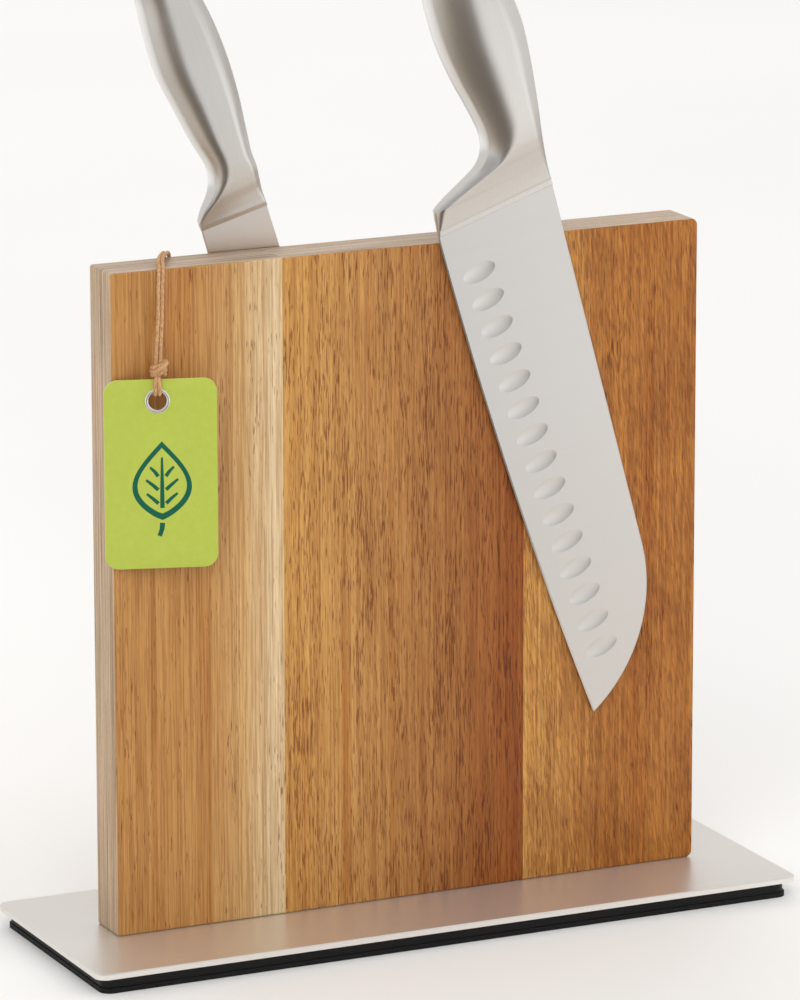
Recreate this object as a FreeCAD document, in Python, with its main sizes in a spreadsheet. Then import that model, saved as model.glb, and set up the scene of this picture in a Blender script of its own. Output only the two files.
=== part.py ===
"""Magnetic knife block with two knives and a hang tag, in millimetres.

The frame: +X to the right along the board, +Y to the back, +Z up, and the origin under the middle
of the base, on the surface the block stands on.
"""
import FreeCAD, Part
import math
import os
import re
import Sketcher

V = FreeCAD.Vector
Rotation = FreeCAD.Rotation
Placement = FreeCAD.Placement

doc = FreeCAD.newDocument("knife_block")
sheet = doc.addObject("Spreadsheet::Sheet", "Sizes")

# ---------------------------------------------------------------------------------------------
# Driving sizes
# ---------------------------------------------------------------------------------------------
SIZES = {
    # base, from the bottom up
    "rubber_thick": 1.8,
    "rubber_inset": 2.5,
    "rubber_round": 0.3,
    "core_thick": 3.9,
    "core_inset": 3.0,
    "plate_width": 265,
    "plate_depth": 92,
    "plate_thick": 2.0,
    "plate_corner": 4,
    "plate_bevel": 0.35,
    # board
    "board_width": 220,
    "board_height": 230,
    "panel_thick": 9,
    "joint_left": -47.5,
    "joint_right": 43.2,
    "board_corner_left": 0.9,
    "board_corner_right": 2.5,
    "edge_round": 0.8,
    # magnets in their blind pockets
    "magnet_radius": 10,
    "magnet_thick": 6,
    "pocket_play": 0.3,
    "pocket_skin": 2.2,
    "magnet_pitch": 30,
    "magnet_first": -92,
    "magnet_low": 95,
    "magnet_high": 185,
    # screws from below, one in each outer stave
    "screw_radius": 2,
    "screw_reach": 28,
    "screw_head_radius": 4,
    "screw_head_rise": 2,
    "screw_side": 75,
    "screw_slot_long": 3.6,
    "screw_slot_wide": 0.8,
    "pilot_play": 0.05,
    "pilot_spare": 1,
    "through_play": 0.3,
    # hang tag
    "tag_width": 37.8,
    "tag_height": 64.7,
    "tag_thick": 0.6,
    "tag_corner": 4.5,
    "tag_x": -94.7,
    "tag_y": -14.5,
    "tag_z": 169.2,
    "tag_turn": -17,
    "eyelet_side": -1.0,
    "eyelet_up": 25.1,
    "eyelet_bore": 3.05,
    "eyelet_barrel": 3.4,
    "eyelet_rim": 4.3,
    "eyelet_rim_slope": 0.3,
    "eyelet_mouth_slope": 0.2,
    "eyelet_front_lip": 0.45,
    "eyelet_back_rim": 4.0,
    "eyelet_back_lip": 0.3,
    "eyelet_play": 0.05,
    "washer_rim": 4.6,
    "washer_thick": 0.25,
    # cord, its knot and the paper seal over its ends
    "cord_diameter": 1.4,
    "cord_play": 0.08,
    "loop_out": 1.65,
    "loop_low": 1.6,
    "loop_high": 9.6,
    "knot_x": -95.2,
    "knot_y": -14.2,
    "knot_z": 204.9,
    "knot_radius": 3.2,
    "knot_depth": 2.9,
    "knot_half_height": 3.0,
    "knot_entry_back": 0.2,
    "knot_entry_up": 1.4,
    "seal_radius": 10,
    "seal_crown": 7,
    "seal_thick": 1.8,
    "seal_x": -81.3,
    "seal_z": 218,
    "seal_channel_side": 0.75,
    "seal_channel_play": 0.2,
    "seal_channel_low": 5,
    # knives: place of the heel, lean from upright, blade and tang
    "santoku_x": 10.0,
    "santoku_y": -10.2,
    "santoku_z": 239.6,
    "santoku_lean": 15.3,
    "santoku_length": 183,
    "santoku_width": 45.2,
    "santoku_thick": 2.0,
    "santoku_tip": 12.8,
    "santoku_belly": 4.2,
    "santoku_nose": 131,
    "santoku_step": 3.3,
    "santoku_tang_low": 29.5,
    "santoku_tang_high": 41.5,
    "santoku_tang_reach": 62,
    "santoku_hollow": 4,
    "utility_x": -68.5,
    "utility_y": 10.2,
    "utility_z": 245.1,
    "utility_lean": 18,
    "utility_length": 128,
    "utility_width": 24.8,
    "utility_thick": 1.8,
    "utility_tip": 8.5,
    "utility_belly": 1.2,
    "utility_nose": 70,
    "utility_step": -0.7,
    "utility_tang_low": 12.5,
    "utility_tang_high": 20.5,
    "utility_tang_reach": 52,
    "utility_hollow": 5,
    "edge_thick": 0.3,
    "grind_margin": 10,
    "tang_share": 0.8,
    "tang_root": 1,
    "tang_slot_spare": 3,
    "handle_wall": 1.2,
    # boxes on both sides of a knife's middle plane, which split its handle into two shells
    "split_left": 40,
    "split_low": 20,
    "split_wide": 120,
    "split_deep": 40,
    "split_tall": 200,
    # dimples ground into the santoku blade
    "dimple_long": 6.5,
    "dimple_short": 3.4,
    "dimple_depth": 0.28,
    "dimple_pitch": 10.33,
    "dimple_first_down": 16.7,
    "dimple_first_across": 11.3,
    "dimple_drift": 0.68,
    "dimple_turn": 10,
}

DIMPLE_COUNT = 15
RING_POINTS = 16
RING_SQUARENESS = 0.85  # 1 is an ellipse, and less is squarer
GRIND_OVERRUN = 2  # the grind starts this far outside the cutting edge
GRIND_OUTSIDE = 1  # and cuts this far beyond the blade's faces
BELLY_PLACE = 0.55  # the belly is measured at this share of the blade's length
ARC_SHARE = 0.45  # of the shorter run beside it, for each arc of a cord
TOUCH = 1e-6  # nearer than this, two places are the same
SMALLEST_CUT = 0.01  # cubic millimetres
VOLUME_TOLERANCE = 0.02

# Handle sections from the heel to the butt. Each runs from a point of the belly to a point of the
# spine: (belly up, belly across, spine up, spine across, thickness), along and across the knife.
SANTOKU_SECTIONS = [
    (0.0, 0.1, 3.3, 45.4, 2.4),
    (4.5, 0.3, 8.0, 45.1, 4.0),
    (9.0, 0.9, 12.0, 44.7, 5.8),
    (12.1, 5.6, 14.9, 44.6, 8.0),
    (15.2, 13.4, 17.8, 44.5, 11.2),
    (18.4, 20.3, 21.2, 44.6, 14.0),
    (22.8, 24.1, 25.4, 44.9, 16.2),
    (29.0, 25.3, 31.0, 45.5, 17.8),
    (38.4, 23.3, 39.4, 46.1, 19.2),
    (50.0, 20.3, 50.0, 46.8, 20.6),
    (63.0, 18.1, 63.0, 47.0, 21.6),
    (77.0, 17.6, 77.0, 45.2, 22.0),
    (92.0, 18.4, 92.0, 42.8, 21.4),
    (107.0, 17.4, 107.0, 40.6, 20.8),
    (120.0, 13.8, 120.0, 39.2, 20.4),
    (129.0, 11.4, 129.0, 37.2, 18.2),
    (132.6, 14.2, 132.6, 33.4, 11.6),
]
UTILITY_SECTIONS = [
    (0.0, -0.3, -0.7, 25.1, 2.1),
    (3.2, -0.2, 2.9, 25.0, 3.8),
    (6.4, 2.3, 6.6, 24.8, 5.6),
    (10.2, 6.3, 10.6, 24.7, 8.6),
    (14.6, 8.9, 15.1, 24.6, 11.6),
    (20.4, 9.4, 20.8, 24.5, 13.6),
    (30.0, 7.1, 30.0, 25.2, 15.0),
    (42.0, 4.9, 42.0, 26.1, 16.0),
    (56.0, 2.6, 56.0, 26.2, 16.8),
    (70.0, 2.7, 70.0, 25.0, 16.6),
    (83.0, 3.5, 83.0, 22.7, 16.0),
    (96.0, 1.6, 96.0, 20.8, 15.6),
    (106.0, -1.6, 106.0, 19.2, 14.6),
    (110.4, 0.6, 110.4, 15.8, 8.8),
]

# ---------------------------------------------------------------------------------------------
# The sheet and small helpers
# ---------------------------------------------------------------------------------------------
SECTION_FIELDS = ("belly_up", "belly_across", "spine_up", "spine_across", "thick")


def fill_sheet():
    """Write every driving size into the sheet, one alias to a row."""
    cells = dict(SIZES)
    for knife, sections in (("santoku", SANTOKU_SECTIONS), ("utility", UTILITY_SECTIONS)):
        for number, section in enumerate(sections):
            for field, number_value in zip(SECTION_FIELDS, section):
                cells[f"{knife}_{number}_{field}"] = number_value
    for row, (alias, number_value) in enumerate(cells.items(), start=1):
        sheet.set(f"A{row}", alias)
        sheet.set(f"B{row}", str(number_value))
        sheet.setAlias(f"B{row}", alias)
    doc.recompute()


def named(expression):
    """Point each bare alias at the sheet, so that 'board_width / 2' can be bound to a property."""
    return re.sub(r"\b([a-z]\w*)\b(?!\()", r"Sizes.\1", expression)


def value(expression):
    """The number an expression of sheet aliases gives now."""
    return float(sheet.evalExpression(named(expression)))


def bind(target, **expressions):
    """Bind properties of an object to expressions of sheet aliases."""
    for property_name, expression in expressions.items():
        target.setExpression(property_name.replace("__", "."), named(expression))


def place(target, x, y, z, axis=V(0, 0, 1), angle=0.0):
    """Turn an object by an angle and bind its position to the sheet."""
    target.Placement = Placement(V(value(x), value(y), value(z)), Rotation(axis, angle))
    bind(target, Placement__Base__x=x, Placement__Base__y=y, Placement__Base__z=z)


def label(target, name):
    target.Label = name
    return target


def new_body(name):
    return label(doc.addObject("PartDesign::Body", name), name)


def new_sketch(body, role, name, lift="0"):
    """A sketch on one of the body's own origin planes, lifted along the plane's normal."""
    plane = next(item for item in body.Origin.OriginFeatures if item.Role == role)
    sketch = body.newObject("Sketcher::SketchObject", name)
    sketch.AttachmentSupport = [(plane, "")]
    sketch.MapMode = "FlatFace"
    sketch.AttachmentOffset = Placement(V(0, 0, value(lift)), Rotation())
    bind(sketch, AttachmentOffset__Base__z=lift)
    return sketch


def constrain(sketch, name, constraint, expression):
    index = sketch.addConstraint(constraint)
    sketch.renameConstraint(index, name)
    sketch.setExpression(f"Constraints.{name}", named(expression))


def rectangle(sketch, left, right, bottom, top):
    """A rectangle whose sides sit at four bound distances from the sketch's origin."""
    x0, x1, y0, y1 = value(left), value(right), value(bottom), value(top)
    corners = [V(x0, y0, 0), V(x1, y0, 0), V(x1, y1, 0), V(x0, y1, 0)]
    for start, finish in zip(corners, corners[1:] + corners[:1]):
        sketch.addGeometry(Part.LineSegment(start, finish), False)
    for side in range(4):
        sketch.addConstraint(Sketcher.Constraint("Coincident", side, 2, (side + 1) % 4, 1))
        direction = "Horizontal" if side % 2 == 0 else "Vertical"
        sketch.addConstraint(Sketcher.Constraint(direction, side))
    constrain(sketch, "left", Sketcher.Constraint("DistanceX", -1, 1, 0, 1, x0), left)
    constrain(sketch, "bottom", Sketcher.Constraint("DistanceY", -1, 1, 0, 1, y0), bottom)
    constrain(sketch, "right", Sketcher.Constraint("DistanceX", -1, 1, 2, 1, x1), right)
    constrain(sketch, "top", Sketcher.Constraint("DistanceY", -1, 1, 2, 1, y1), top)


def circle(sketch, x, y, radius):
    """A circle with a bound centre and radius."""
    number = sketch.GeometryCount
    centre = V(value(x), value(y), 0)
    sketch.addGeometry(Part.Circle(centre, V(0, 0, 1), value(radius)), False)
    constrain(sketch, f"x_{number}", Sketcher.Constraint("DistanceX", -1, 1, number, 3, centre.x), x)
    constrain(sketch, f"y_{number}", Sketcher.Constraint("DistanceY", -1, 1, number, 3, centre.y), y)
    constrain(sketch, f"r_{number}", Sketcher.Constraint("Radius", number, value(radius)), radius)


def pad(body, sketch, length, backwards=False, both_ways=False):
    feature = body.newObject("PartDesign::Pad", f"{sketch.Name}_pad")
    feature.Profile = sketch
    feature.Reversed = backwards
    feature.Midplane = both_ways
    bind(feature, Length=length)
    sketch.Visibility = False
    doc.recompute()
    return feature


def pocket(body, sketch, length, backwards=False):
    """Cut a sketch into the body, and make sure that it removes something."""
    before = body.Shape.Volume
    feature = body.newObject("PartDesign::Pocket", f"{sketch.Name}_pocket")
    feature.Profile = sketch
    feature.Reversed = backwards
    bind(feature, Length=length)
    sketch.Visibility = False
    doc.recompute()
    if body.Shape.Volume > before - SMALLEST_CUT:
        raise RuntimeError(f"{feature.Name} cuts nothing")
    return feature


def dress(body, kind, wanted, size):
    """Fillet or chamfer the body's edges that pass a test on their middle and direction."""
    base = body.Tip
    names = []
    for number, edge in enumerate(base.Shape.Edges, start=1):
        first, last = edge.FirstParameter, edge.LastParameter
        middle = edge.valueAt((first + last) / 2)
        if wanted(middle, edge):
            names.append(f"Edge{number}")
    feature = body.newObject(f"PartDesign::{kind}", f"{body.Name}_{kind}")
    feature.Base = (base, names)
    bind(feature, **{"Radius" if kind == "Fillet" else "Size": size})
    doc.recompute()
    return feature


def along(edge, axis):
    """True for a straight edge that runs along a direction."""
    if edge.Curve.TypeId != "Part::GeomLine":
        return False
    return abs(abs(edge.Curve.Direction.dot(axis)) - 1) < TOUCH


def cylinder(name, radius, height):
    solid = doc.addObject("Part::Cylinder", name)
    bind(solid, Radius=radius, Height=height)
    return solid


def cut(name, base, tool):
    feature = doc.addObject("Part::Cut", name)
    feature.Base = base
    feature.Tool = tool
    return feature


def compound(name, members):
    group = doc.addObject("Part::Compound", name)
    group.Links = members
    return label(group, name)


# ---------------------------------------------------------------------------------------------
# Base and board
# ---------------------------------------------------------------------------------------------
PLATE_BOTTOM = "(rubber_thick + core_thick)"
BOARD_BOTTOM = "(rubber_thick + core_thick + plate_thick)"
BOARD_TOP = "(rubber_thick + core_thick + plate_thick + board_height)"
X_AXIS, Y_AXIS, Z_AXIS = V(1, 0, 0), V(0, 1, 0), V(0, 0, 1)

# Each screw stands under the middle of an outer stave: (side, depth), both panels in turn.
SCREW_SPOTS = [
    ("0 - screw_side", "0 - panel_thick / 2"),
    ("screw_side", "0 - panel_thick / 2"),
    ("0 - screw_side", "panel_thick / 2"),
    ("screw_side", "panel_thick / 2"),
]


def base_slab(name, inset, bottom, thick):
    """A slab of the base with rounded corners, centred under the board."""
    body = new_body(name)
    sketch = new_sketch(body, "XY_Plane", f"{name}_outline", lift=bottom)
    half_width = f"(plate_width / 2 - {inset})"
    half_depth = f"(plate_depth / 2 - {inset})"
    rectangle(sketch, f"0 - {half_width}", half_width, f"0 - {half_depth}", half_depth)
    pad(body, sketch, thick)
    dress(body, "Fillet", lambda middle, edge: along(edge, Z_AXIS), "plate_corner")
    return body


def screw_holes(body, bottom, depth, radius, spots):
    """Holes for the base screws, bored upwards from a height."""
    sketch = new_sketch(body, "XY_Plane", f"{body.Name}_screw_holes", lift=bottom)
    for side, back in spots:
        circle(sketch, side, back, radius)
    pocket(body, sketch, depth, backwards=True)


def make_base():
    rubber = base_slab("base_rubber_sheet", "rubber_inset", "0", "rubber_thick")
    top = value("rubber_thick")
    dress(rubber, "Fillet", lambda middle, edge: abs(middle.z - top) < TOUCH, "rubber_round")

    core = base_slab("base_core", "core_inset", "rubber_thick", "core_thick")
    screw_holes(core, "rubber_thick", "core_thick", "screw_radius + through_play", SCREW_SPOTS)

    def hole_rim(middle, edge):
        return abs(middle.z - top) < TOUCH and edge.isClosed()
    dress(core, "Chamfer", hole_rim, "screw_head_radius - screw_radius")

    plate = base_slab("base_plate", "0", PLATE_BOTTOM, "plate_thick")
    plate_top = value(BOARD_BOTTOM)
    dress(plate, "Chamfer", lambda middle, edge: abs(middle.z - plate_top) < TOUCH, "plate_bevel")
    screw_holes(plate, PLATE_BOTTOM, "plate_thick", "screw_radius + through_play", SCREW_SPOTS)


def make_screws():
    """Countersunk wood screws with a cross recess, heads flush with the core's underside."""
    screws = []
    for number, (side, back) in enumerate(SCREW_SPOTS, start=1):
        head = doc.addObject("Part::Cone", f"screw_head_{number}")
        bind(head, Radius1="screw_head_radius", Radius2="screw_radius", Height="screw_head_rise")
        shank = cylinder(f"screw_shank_{number}", "screw_radius",
                         "core_thick + plate_thick + screw_reach")
        whole = doc.addObject("Part::Fuse", f"screw_body_{number}")
        whole.Base = head
        whole.Tool = shank
        arms = [("screw_slot_long", "screw_slot_wide"), ("screw_slot_wide", "screw_slot_long")]
        for arm, (wide, deep) in enumerate(arms, start=1):
            slot = doc.addObject("Part::Box", f"screw_slot_{number}_{arm}")
            bind(slot, Length=wide, Width=deep, Height="screw_head_rise / 2")
            place(slot, f"0 - {wide} / 2", f"0 - {deep} / 2", "0")
            whole = cut(f"screw_cut_{number}_{arm}", whole, slot)
        place(whole, side, back, "rubber_thick")
        screws.append(whole)
    compound("base_screws", screws)


STAVES = {
    "left": ("0 - board_width / 2", "joint_left"),
    "middle": ("joint_left", "joint_right"),
    "right": ("joint_right", "board_width / 2"),
}


def magnet_columns(left, right):
    """Numbers of the magnet columns whose pockets lie inside a stave."""
    first, pitch, radius = value("magnet_first"), value("magnet_pitch"), value("magnet_radius")
    columns = range(int(round((value("board_width") - radius) / pitch)))
    return [number for number in columns
            if value(left) + radius < first + number * pitch < value(right) - radius]


def make_stave(panel, side, sign):
    """One stave: a board with blind magnet pockets on its glued face and rounded outer edges."""
    left, right = STAVES[side]
    name = f"{panel}_stave_{side}"
    body = new_body(name)
    sketch = new_sketch(body, "XZ_Plane", f"{name}_outline")
    rectangle(sketch, left, right, BOARD_BOTTOM, BOARD_TOP)
    pad(body, sketch, "panel_thick", backwards=sign > 0)
    outer_x = value("board_width") / 2 * {"left": -1, "middle": 0, "right": 1}[side]
    outer_y = sign * value("panel_thick")
    if side != "middle":
        dress(body, "Fillet",
              lambda middle, edge: along(edge, Y_AXIS) and abs(middle.x - outer_x) < TOUCH,
              f"board_corner_{side}")

    joints = [value("joint_left"), value("joint_right")]

    def on_outline(middle, edge):
        beside_joint = any(abs(middle.x - joint) < TOUCH for joint in joints)
        return abs(middle.y - outer_y) < TOUCH and not beside_joint
    dress(body, "Fillet", on_outline, "edge_round")

    pockets = new_sketch(body, "XZ_Plane", f"{name}_magnets")
    for number in magnet_columns(left, right):
        for height in ("magnet_low", "magnet_high"):
            circle(pockets, f"magnet_first + {number} * magnet_pitch", f"{BOARD_BOTTOM} + {height}",
                   "magnet_radius + pocket_play")
    pocket(body, pockets, "panel_thick - pocket_skin", backwards=sign < 0)
    spots = [spot for spot in SCREW_SPOTS
             if value(left) < value(spot[0]) < value(right) and value(spot[1]) * sign > 0]
    if spots:
        screw_holes(body, BOARD_BOTTOM, "screw_reach + pilot_spare", "screw_radius + pilot_play",
                    spots)


def make_magnets(panel, sign):
    """Disc magnets against the bottoms of their pockets, two rows across the panel."""
    for left, right in STAVES.values():
        for column in magnet_columns(left, right):
            for row in ("low", "high"):
                magnet = cylinder(f"{panel}_magnet_{column + 1}_{row}", "magnet_radius",
                                  "magnet_thick")
                label(magnet, magnet.Name)
                outer = "(panel_thick - pocket_skin)"
                depth = f"0 - {outer}" if sign < 0 else f"{outer} - magnet_thick"
                place(magnet, f"magnet_first + {column} * magnet_pitch", depth,
                      f"{BOARD_BOTTOM} + magnet_{row}", X_AXIS, -90)


# ---------------------------------------------------------------------------------------------
# Knives
# ---------------------------------------------------------------------------------------------
# A knife is built upright at the origin: Z runs up the knife from the heel, X across the blade
# from the cutting edge to the spine, and Y through its thickness. Then it is leaned and placed.

def stand(target, knife):
    """Lean a finished piece of a knife and put its heel in its place."""
    place(target, f"{knife}_x", f"{knife}_y", f"{knife}_z", Y_AXIS, -value(f"{knife}_lean"))


def make_blade(knife):
    """Blade with a curved edge, a rounded nose, a flat grind on both faces and a tang."""
    name = f"{knife}_blade"
    body = new_body(name)
    length, width = value(f"{knife}_length"), value(f"{knife}_width")
    tip, nose, step = value(f"{knife}_tip"), value(f"{knife}_nose"), value(f"{knife}_step")
    heel = V(0, 0, 0)
    shoulder = V(width, step, 0)
    nose_start = V(width, -nose, 0)
    point = V(tip, -length, 0)
    belly = V(value(f"{knife}_belly"), -length * BELLY_PLACE, 0)
    drop, run = width - tip, length - nose
    nose_radius = (run ** 2 + drop ** 2) / (2 * drop)
    turn = math.asin(run / nose_radius) / 2
    centre = V(width - nose_radius, -nose, 0)
    nose_middle = centre + V(nose_radius * math.cos(turn), -nose_radius * math.sin(turn), 0)

    sketch = new_sketch(body, "XZ_Plane", f"{name}_outline")
    sketch.addGeometry(Part.LineSegment(heel, shoulder), False)
    sketch.addGeometry(Part.LineSegment(shoulder, nose_start), False)
    sketch.addGeometry(Part.Arc(nose_start, nose_middle, point), False)
    sketch.addGeometry(Part.Arc(point, belly, heel), False)
    sketch.addConstraint(Sketcher.Constraint("Coincident", 0, 2, 1, 1))
    sketch.addConstraint(Sketcher.Constraint("Coincident", 0, 1, -1, 1))
    sketch.addConstraint(Sketcher.Constraint("Vertical", 1))
    constrain(sketch, "width", Sketcher.Constraint("DistanceX", -1, 1, 1, 1, width), f"{knife}_width")
    constrain(sketch, "step", Sketcher.Constraint("DistanceY", -1, 1, 1, 1, step), f"{knife}_step")
    constrain(sketch, "nose", Sketcher.Constraint("DistanceY", 1, 2, -1, 1, nose), f"{knife}_nose")
    pad(body, sketch, f"{knife}_thick", both_ways=True)

    # The grind: a wedge off each face, from the spine's thickness down to the cutting edge's.
    below_tip = f"0 - {knife}_length - grind_margin"
    grind = new_sketch(body, "XY_Plane", f"{name}_grind", lift=below_tip)
    thick, thin = value(f"{knife}_thick") / 2, value("edge_thick") / 2
    outside = thick + GRIND_OUTSIDE
    for face in (-1, 1):
        corners = [V(-GRIND_OVERRUN, face * thin, 0), V(width, face * thick, 0),
                   V(width, face * outside, 0), V(-GRIND_OVERRUN, face * outside, 0)]
        for start, finish in zip(corners, corners[1:] + corners[:1]):
            grind.addGeometry(Part.LineSegment(start, finish), False)
    pocket(body, grind, f"{knife}_length + grind_margin * 2", backwards=True)

    tang = new_sketch(body, "XZ_Plane", f"{name}_tang")
    rectangle(tang, f"{knife}_tang_low", f"{knife}_tang_high", "tang_root", f"{knife}_tang_reach")
    pad(body, tang, f"{knife}_thick * tang_share", both_ways=True)
    return body


def add_dimples(body):
    """Shallow ovals along the edge of the santoku, with those of the back face half a step on."""
    thick, thin = value("santoku_thick") / 2, value("edge_thick") / 2
    slope = math.degrees(math.atan2(thick - thin, value("santoku_width") + GRIND_OVERRUN))
    long_way = Rotation(Z_AXIS, value("dimple_turn")).multVec(V(value("dimple_long"), 0, 0))
    short_way = Rotation(Z_AXIS, value("dimple_turn")).multVec(V(0, value("dimple_short"), 0))
    for face, name, shift in ((1, "front", 0.0), (-1, "back", 0.5)):
        sketch = new_sketch(body, "XZ_Plane", f"dimples_{name}")
        turn = Rotation(V(0, 1, 0), -face * slope)
        corner = V(-GRIND_OVERRUN, 0, face * thin)
        sketch.AttachmentOffset = Placement(corner, turn)
        for number in range(DIMPLE_COUNT):
            steps = number + shift
            across = f"{GRIND_OVERRUN} + dimple_first_across + {steps} * dimple_drift"
            up = f"0 - dimple_first_down - {steps} * dimple_pitch"
            middle = V(value(across), value(up), 0)
            sketch.addGeometry(Part.Ellipse(middle + long_way, middle + short_way, middle), False)
            constrain(sketch, f"across_{number}",
                      Sketcher.Constraint("DistanceX", -1, 1, number, 3, middle.x), across)
            constrain(sketch, f"up_{number}",
                      Sketcher.Constraint("DistanceY", -1, 1, number, 3, middle.y), up)
        pocket(body, sketch, "dimple_depth", backwards=face < 0)


def rounded_ring(half_across, half_thick):
    """A closed smooth curve, a little squarer than an ellipse."""
    points = []
    for step in range(RING_POINTS):
        angle = 2 * math.pi * step / RING_POINTS
        across = math.copysign(abs(math.cos(angle)) ** RING_SQUARENESS, math.cos(angle))
        through = math.copysign(abs(math.sin(angle)) ** RING_SQUARENESS, math.sin(angle))
        points.append(V(half_across * across, half_thick * through, 0))
    curve = Part.BSplineCurve()
    curve.interpolate(Points=points, PeriodicFlag=True)
    return Part.Wire([curve.toShape()])


def handle_loft(knife, numbers, name, inset):
    """A loft through rings, each across the handle from its belly to its spine."""
    rings = []
    for number in numbers:
        field = {key: value(f"{knife}_{number}_{key}") for key in SECTION_FIELDS}
        rise = field["spine_up"] - field["belly_up"]
        reach = field["spine_across"] - field["belly_across"]
        middle = V((field["spine_across"] + field["belly_across"]) / 2, 0,
                   (field["spine_up"] + field["belly_up"]) / 2)
        ring = doc.addObject("Part::Feature", f"{name}_ring_{number}")
        ring.Shape = rounded_ring(math.hypot(rise, reach) / 2 - inset, field["thick"] / 2 - inset)
        ring.Placement = Placement(middle, Rotation(Y_AXIS, -math.degrees(math.atan2(rise, reach))))
        rings.append(ring)
    loft = doc.addObject("Part::Loft", name)
    loft.Solid = True
    loft.Ruled = False
    loft.Sections = rings
    return loft


def make_handle(knife, section_count):
    """Two pressed shells, split on the knife's middle plane, hollow behind a solid bolster."""
    first_hollow = int(value(f"{knife}_hollow"))
    outer = handle_loft(knife, range(section_count), f"{knife}_outer", 0)
    inner = handle_loft(knife, range(first_hollow, section_count - 1), f"{knife}_inner",
                        value("handle_wall"))
    slot = doc.addObject("Part::Box", f"{knife}_tang_slot")
    bind(slot, Length=f"{knife}_tang_high - {knife}_tang_low", Width=f"{knife}_thick * tang_share",
         Height=f"{knife}_tang_reach + tang_slot_spare")
    place(slot, f"{knife}_tang_low", f"0 - {knife}_thick * tang_share / 2", "0 - tang_slot_spare")
    hollow = cut(f"{knife}_hollow_handle", outer, inner)
    slotted = cut(f"{knife}_slotted_handle", hollow, slot)
    for side, back in (("front", "0 - split_deep"), ("back", "0")):
        half = doc.addObject("Part::Box", f"{knife}_{side}_half")
        bind(half, Length="split_wide", Width="split_deep", Height="split_tall")
        place(half, "0 - split_left", back, "0 - split_low")
        shell = doc.addObject("Part::Common", f"{knife}_handle_{side}")
        shell.Base = slotted
        shell.Tool = half
        label(shell, shell.Name)
        stand(shell, knife)


# ---------------------------------------------------------------------------------------------
# Hang tag and its cord
# ---------------------------------------------------------------------------------------------
def on_tag(side, out, up):
    """The point at a place across, in front of and above the middle of the turned tag."""
    turned = Rotation(Z_AXIS, value("tag_turn")).multVec(V(side, -out, 0))
    return V(value("tag_x"), value("tag_y"), value("tag_z") + up) + turned


def make_tag():
    """Card, flanged eyelet and washer, built facing forwards and then turned about the cord."""
    card = new_body("tag_card")
    sketch = new_sketch(card, "XZ_Plane", "tag_card_outline")
    rectangle(sketch, "0 - tag_width / 2", "tag_width / 2", "0 - tag_height / 2", "tag_height / 2")
    pad(card, sketch, "tag_thick", both_ways=True)
    dress(card, "Fillet", lambda middle, edge: along(edge, Y_AXIS), "tag_corner")
    hole = new_sketch(card, "XZ_Plane", "tag_card_hole", lift="tag_thick")
    circle(hole, "eyelet_side", "eyelet_up", "eyelet_barrel + eyelet_play")
    pocket(card, hole, "tag_thick * 2")

    # The eyelet's half section: radius across, and out of the card's face upwards.
    eyelet = new_body("tag_eyelet")
    profile = new_sketch(eyelet, "XY_Plane", "tag_eyelet_section")
    bore, barrel, rim = value("eyelet_bore"), value("eyelet_barrel"), value("eyelet_rim")
    face = value("tag_thick") / 2
    back, back_rim = face + value("washer_thick"), value("eyelet_back_rim")
    behind = back + value("eyelet_back_lip")
    front = -face - value("eyelet_front_lip")
    half_front = -face - value("eyelet_front_lip") / 2
    rim_top, mouth = rim - value("eyelet_rim_slope"), bore + value("eyelet_mouth_slope")
    section = [(bore, behind), (back_rim, behind), (back_rim, back), (barrel, back),
               (barrel, -face), (rim, -face), (rim, half_front), (rim_top, front),
               (mouth, front), (bore, half_front)]
    corners = [V(x, y, 0) for x, y in section]
    for start, finish in zip(corners, corners[1:] + corners[:1]):
        profile.addGeometry(Part.LineSegment(start, finish), False)
    turned = eyelet.newObject("PartDesign::Revolution", "tag_eyelet_turned")
    turned.Profile = profile
    turned.ReferenceAxis = (profile, ["V_Axis"])
    turned.Angle = 360

    ring = cylinder("washer_disc", "washer_rim", "washer_thick")
    bore_tool = cylinder("washer_bore", "eyelet_barrel + eyelet_play", "washer_thick * 3")
    place(bore_tool, "0", "0", "0 - washer_thick")
    washer = label(cut("tag_washer", ring, bore_tool), "tag_washer")

    turn = value("tag_turn")
    place(card, "tag_x", "tag_y", "tag_z", Z_AXIS, turn)
    middle = on_tag(value("eyelet_side"), 0, value("eyelet_up"))
    eyelet.Placement = Placement(middle, Rotation(Z_AXIS, turn))
    card_back = on_tag(value("eyelet_side"), -value("tag_thick") / 2, value("eyelet_up"))
    washer.Placement = Placement(card_back, Rotation(Z_AXIS, turn).multiply(Rotation(X_AXIS, -90)))


def tube_path(points, tight):
    """Straight runs joined by tangent arcs, each as large as its runs allow unless it is tight."""
    edges = []
    here = points[0]
    radii = []
    for number in range(1, len(points) - 1):
        corner = points[number]
        into = (corner - points[number - 1]).normalize()
        out = (points[number + 1] - corner).normalize()
        half_turn = into.getAngle(out) / 2
        shorter = min((corner - points[number - 1]).Length, (points[number + 1] - corner).Length)
        radius = tight.get(number, ARC_SHARE * shorter / math.tan(half_turn))
        radii.append(radius)
        setback = radius * math.tan(half_turn)
        start, finish = corner - into * setback, corner + out * setback
        inward = (out - into).normalize()
        middle = corner + inward * (radius / math.cos(half_turn) - radius)
        edges.append(Part.LineSegment(here, start).toShape())
        edges.append(Part.Arc(start, middle, finish).toShape())
        here = finish
    edges.append(Part.LineSegment(here, points[-1]).toShape())
    return Part.Wire(edges), radii


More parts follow.
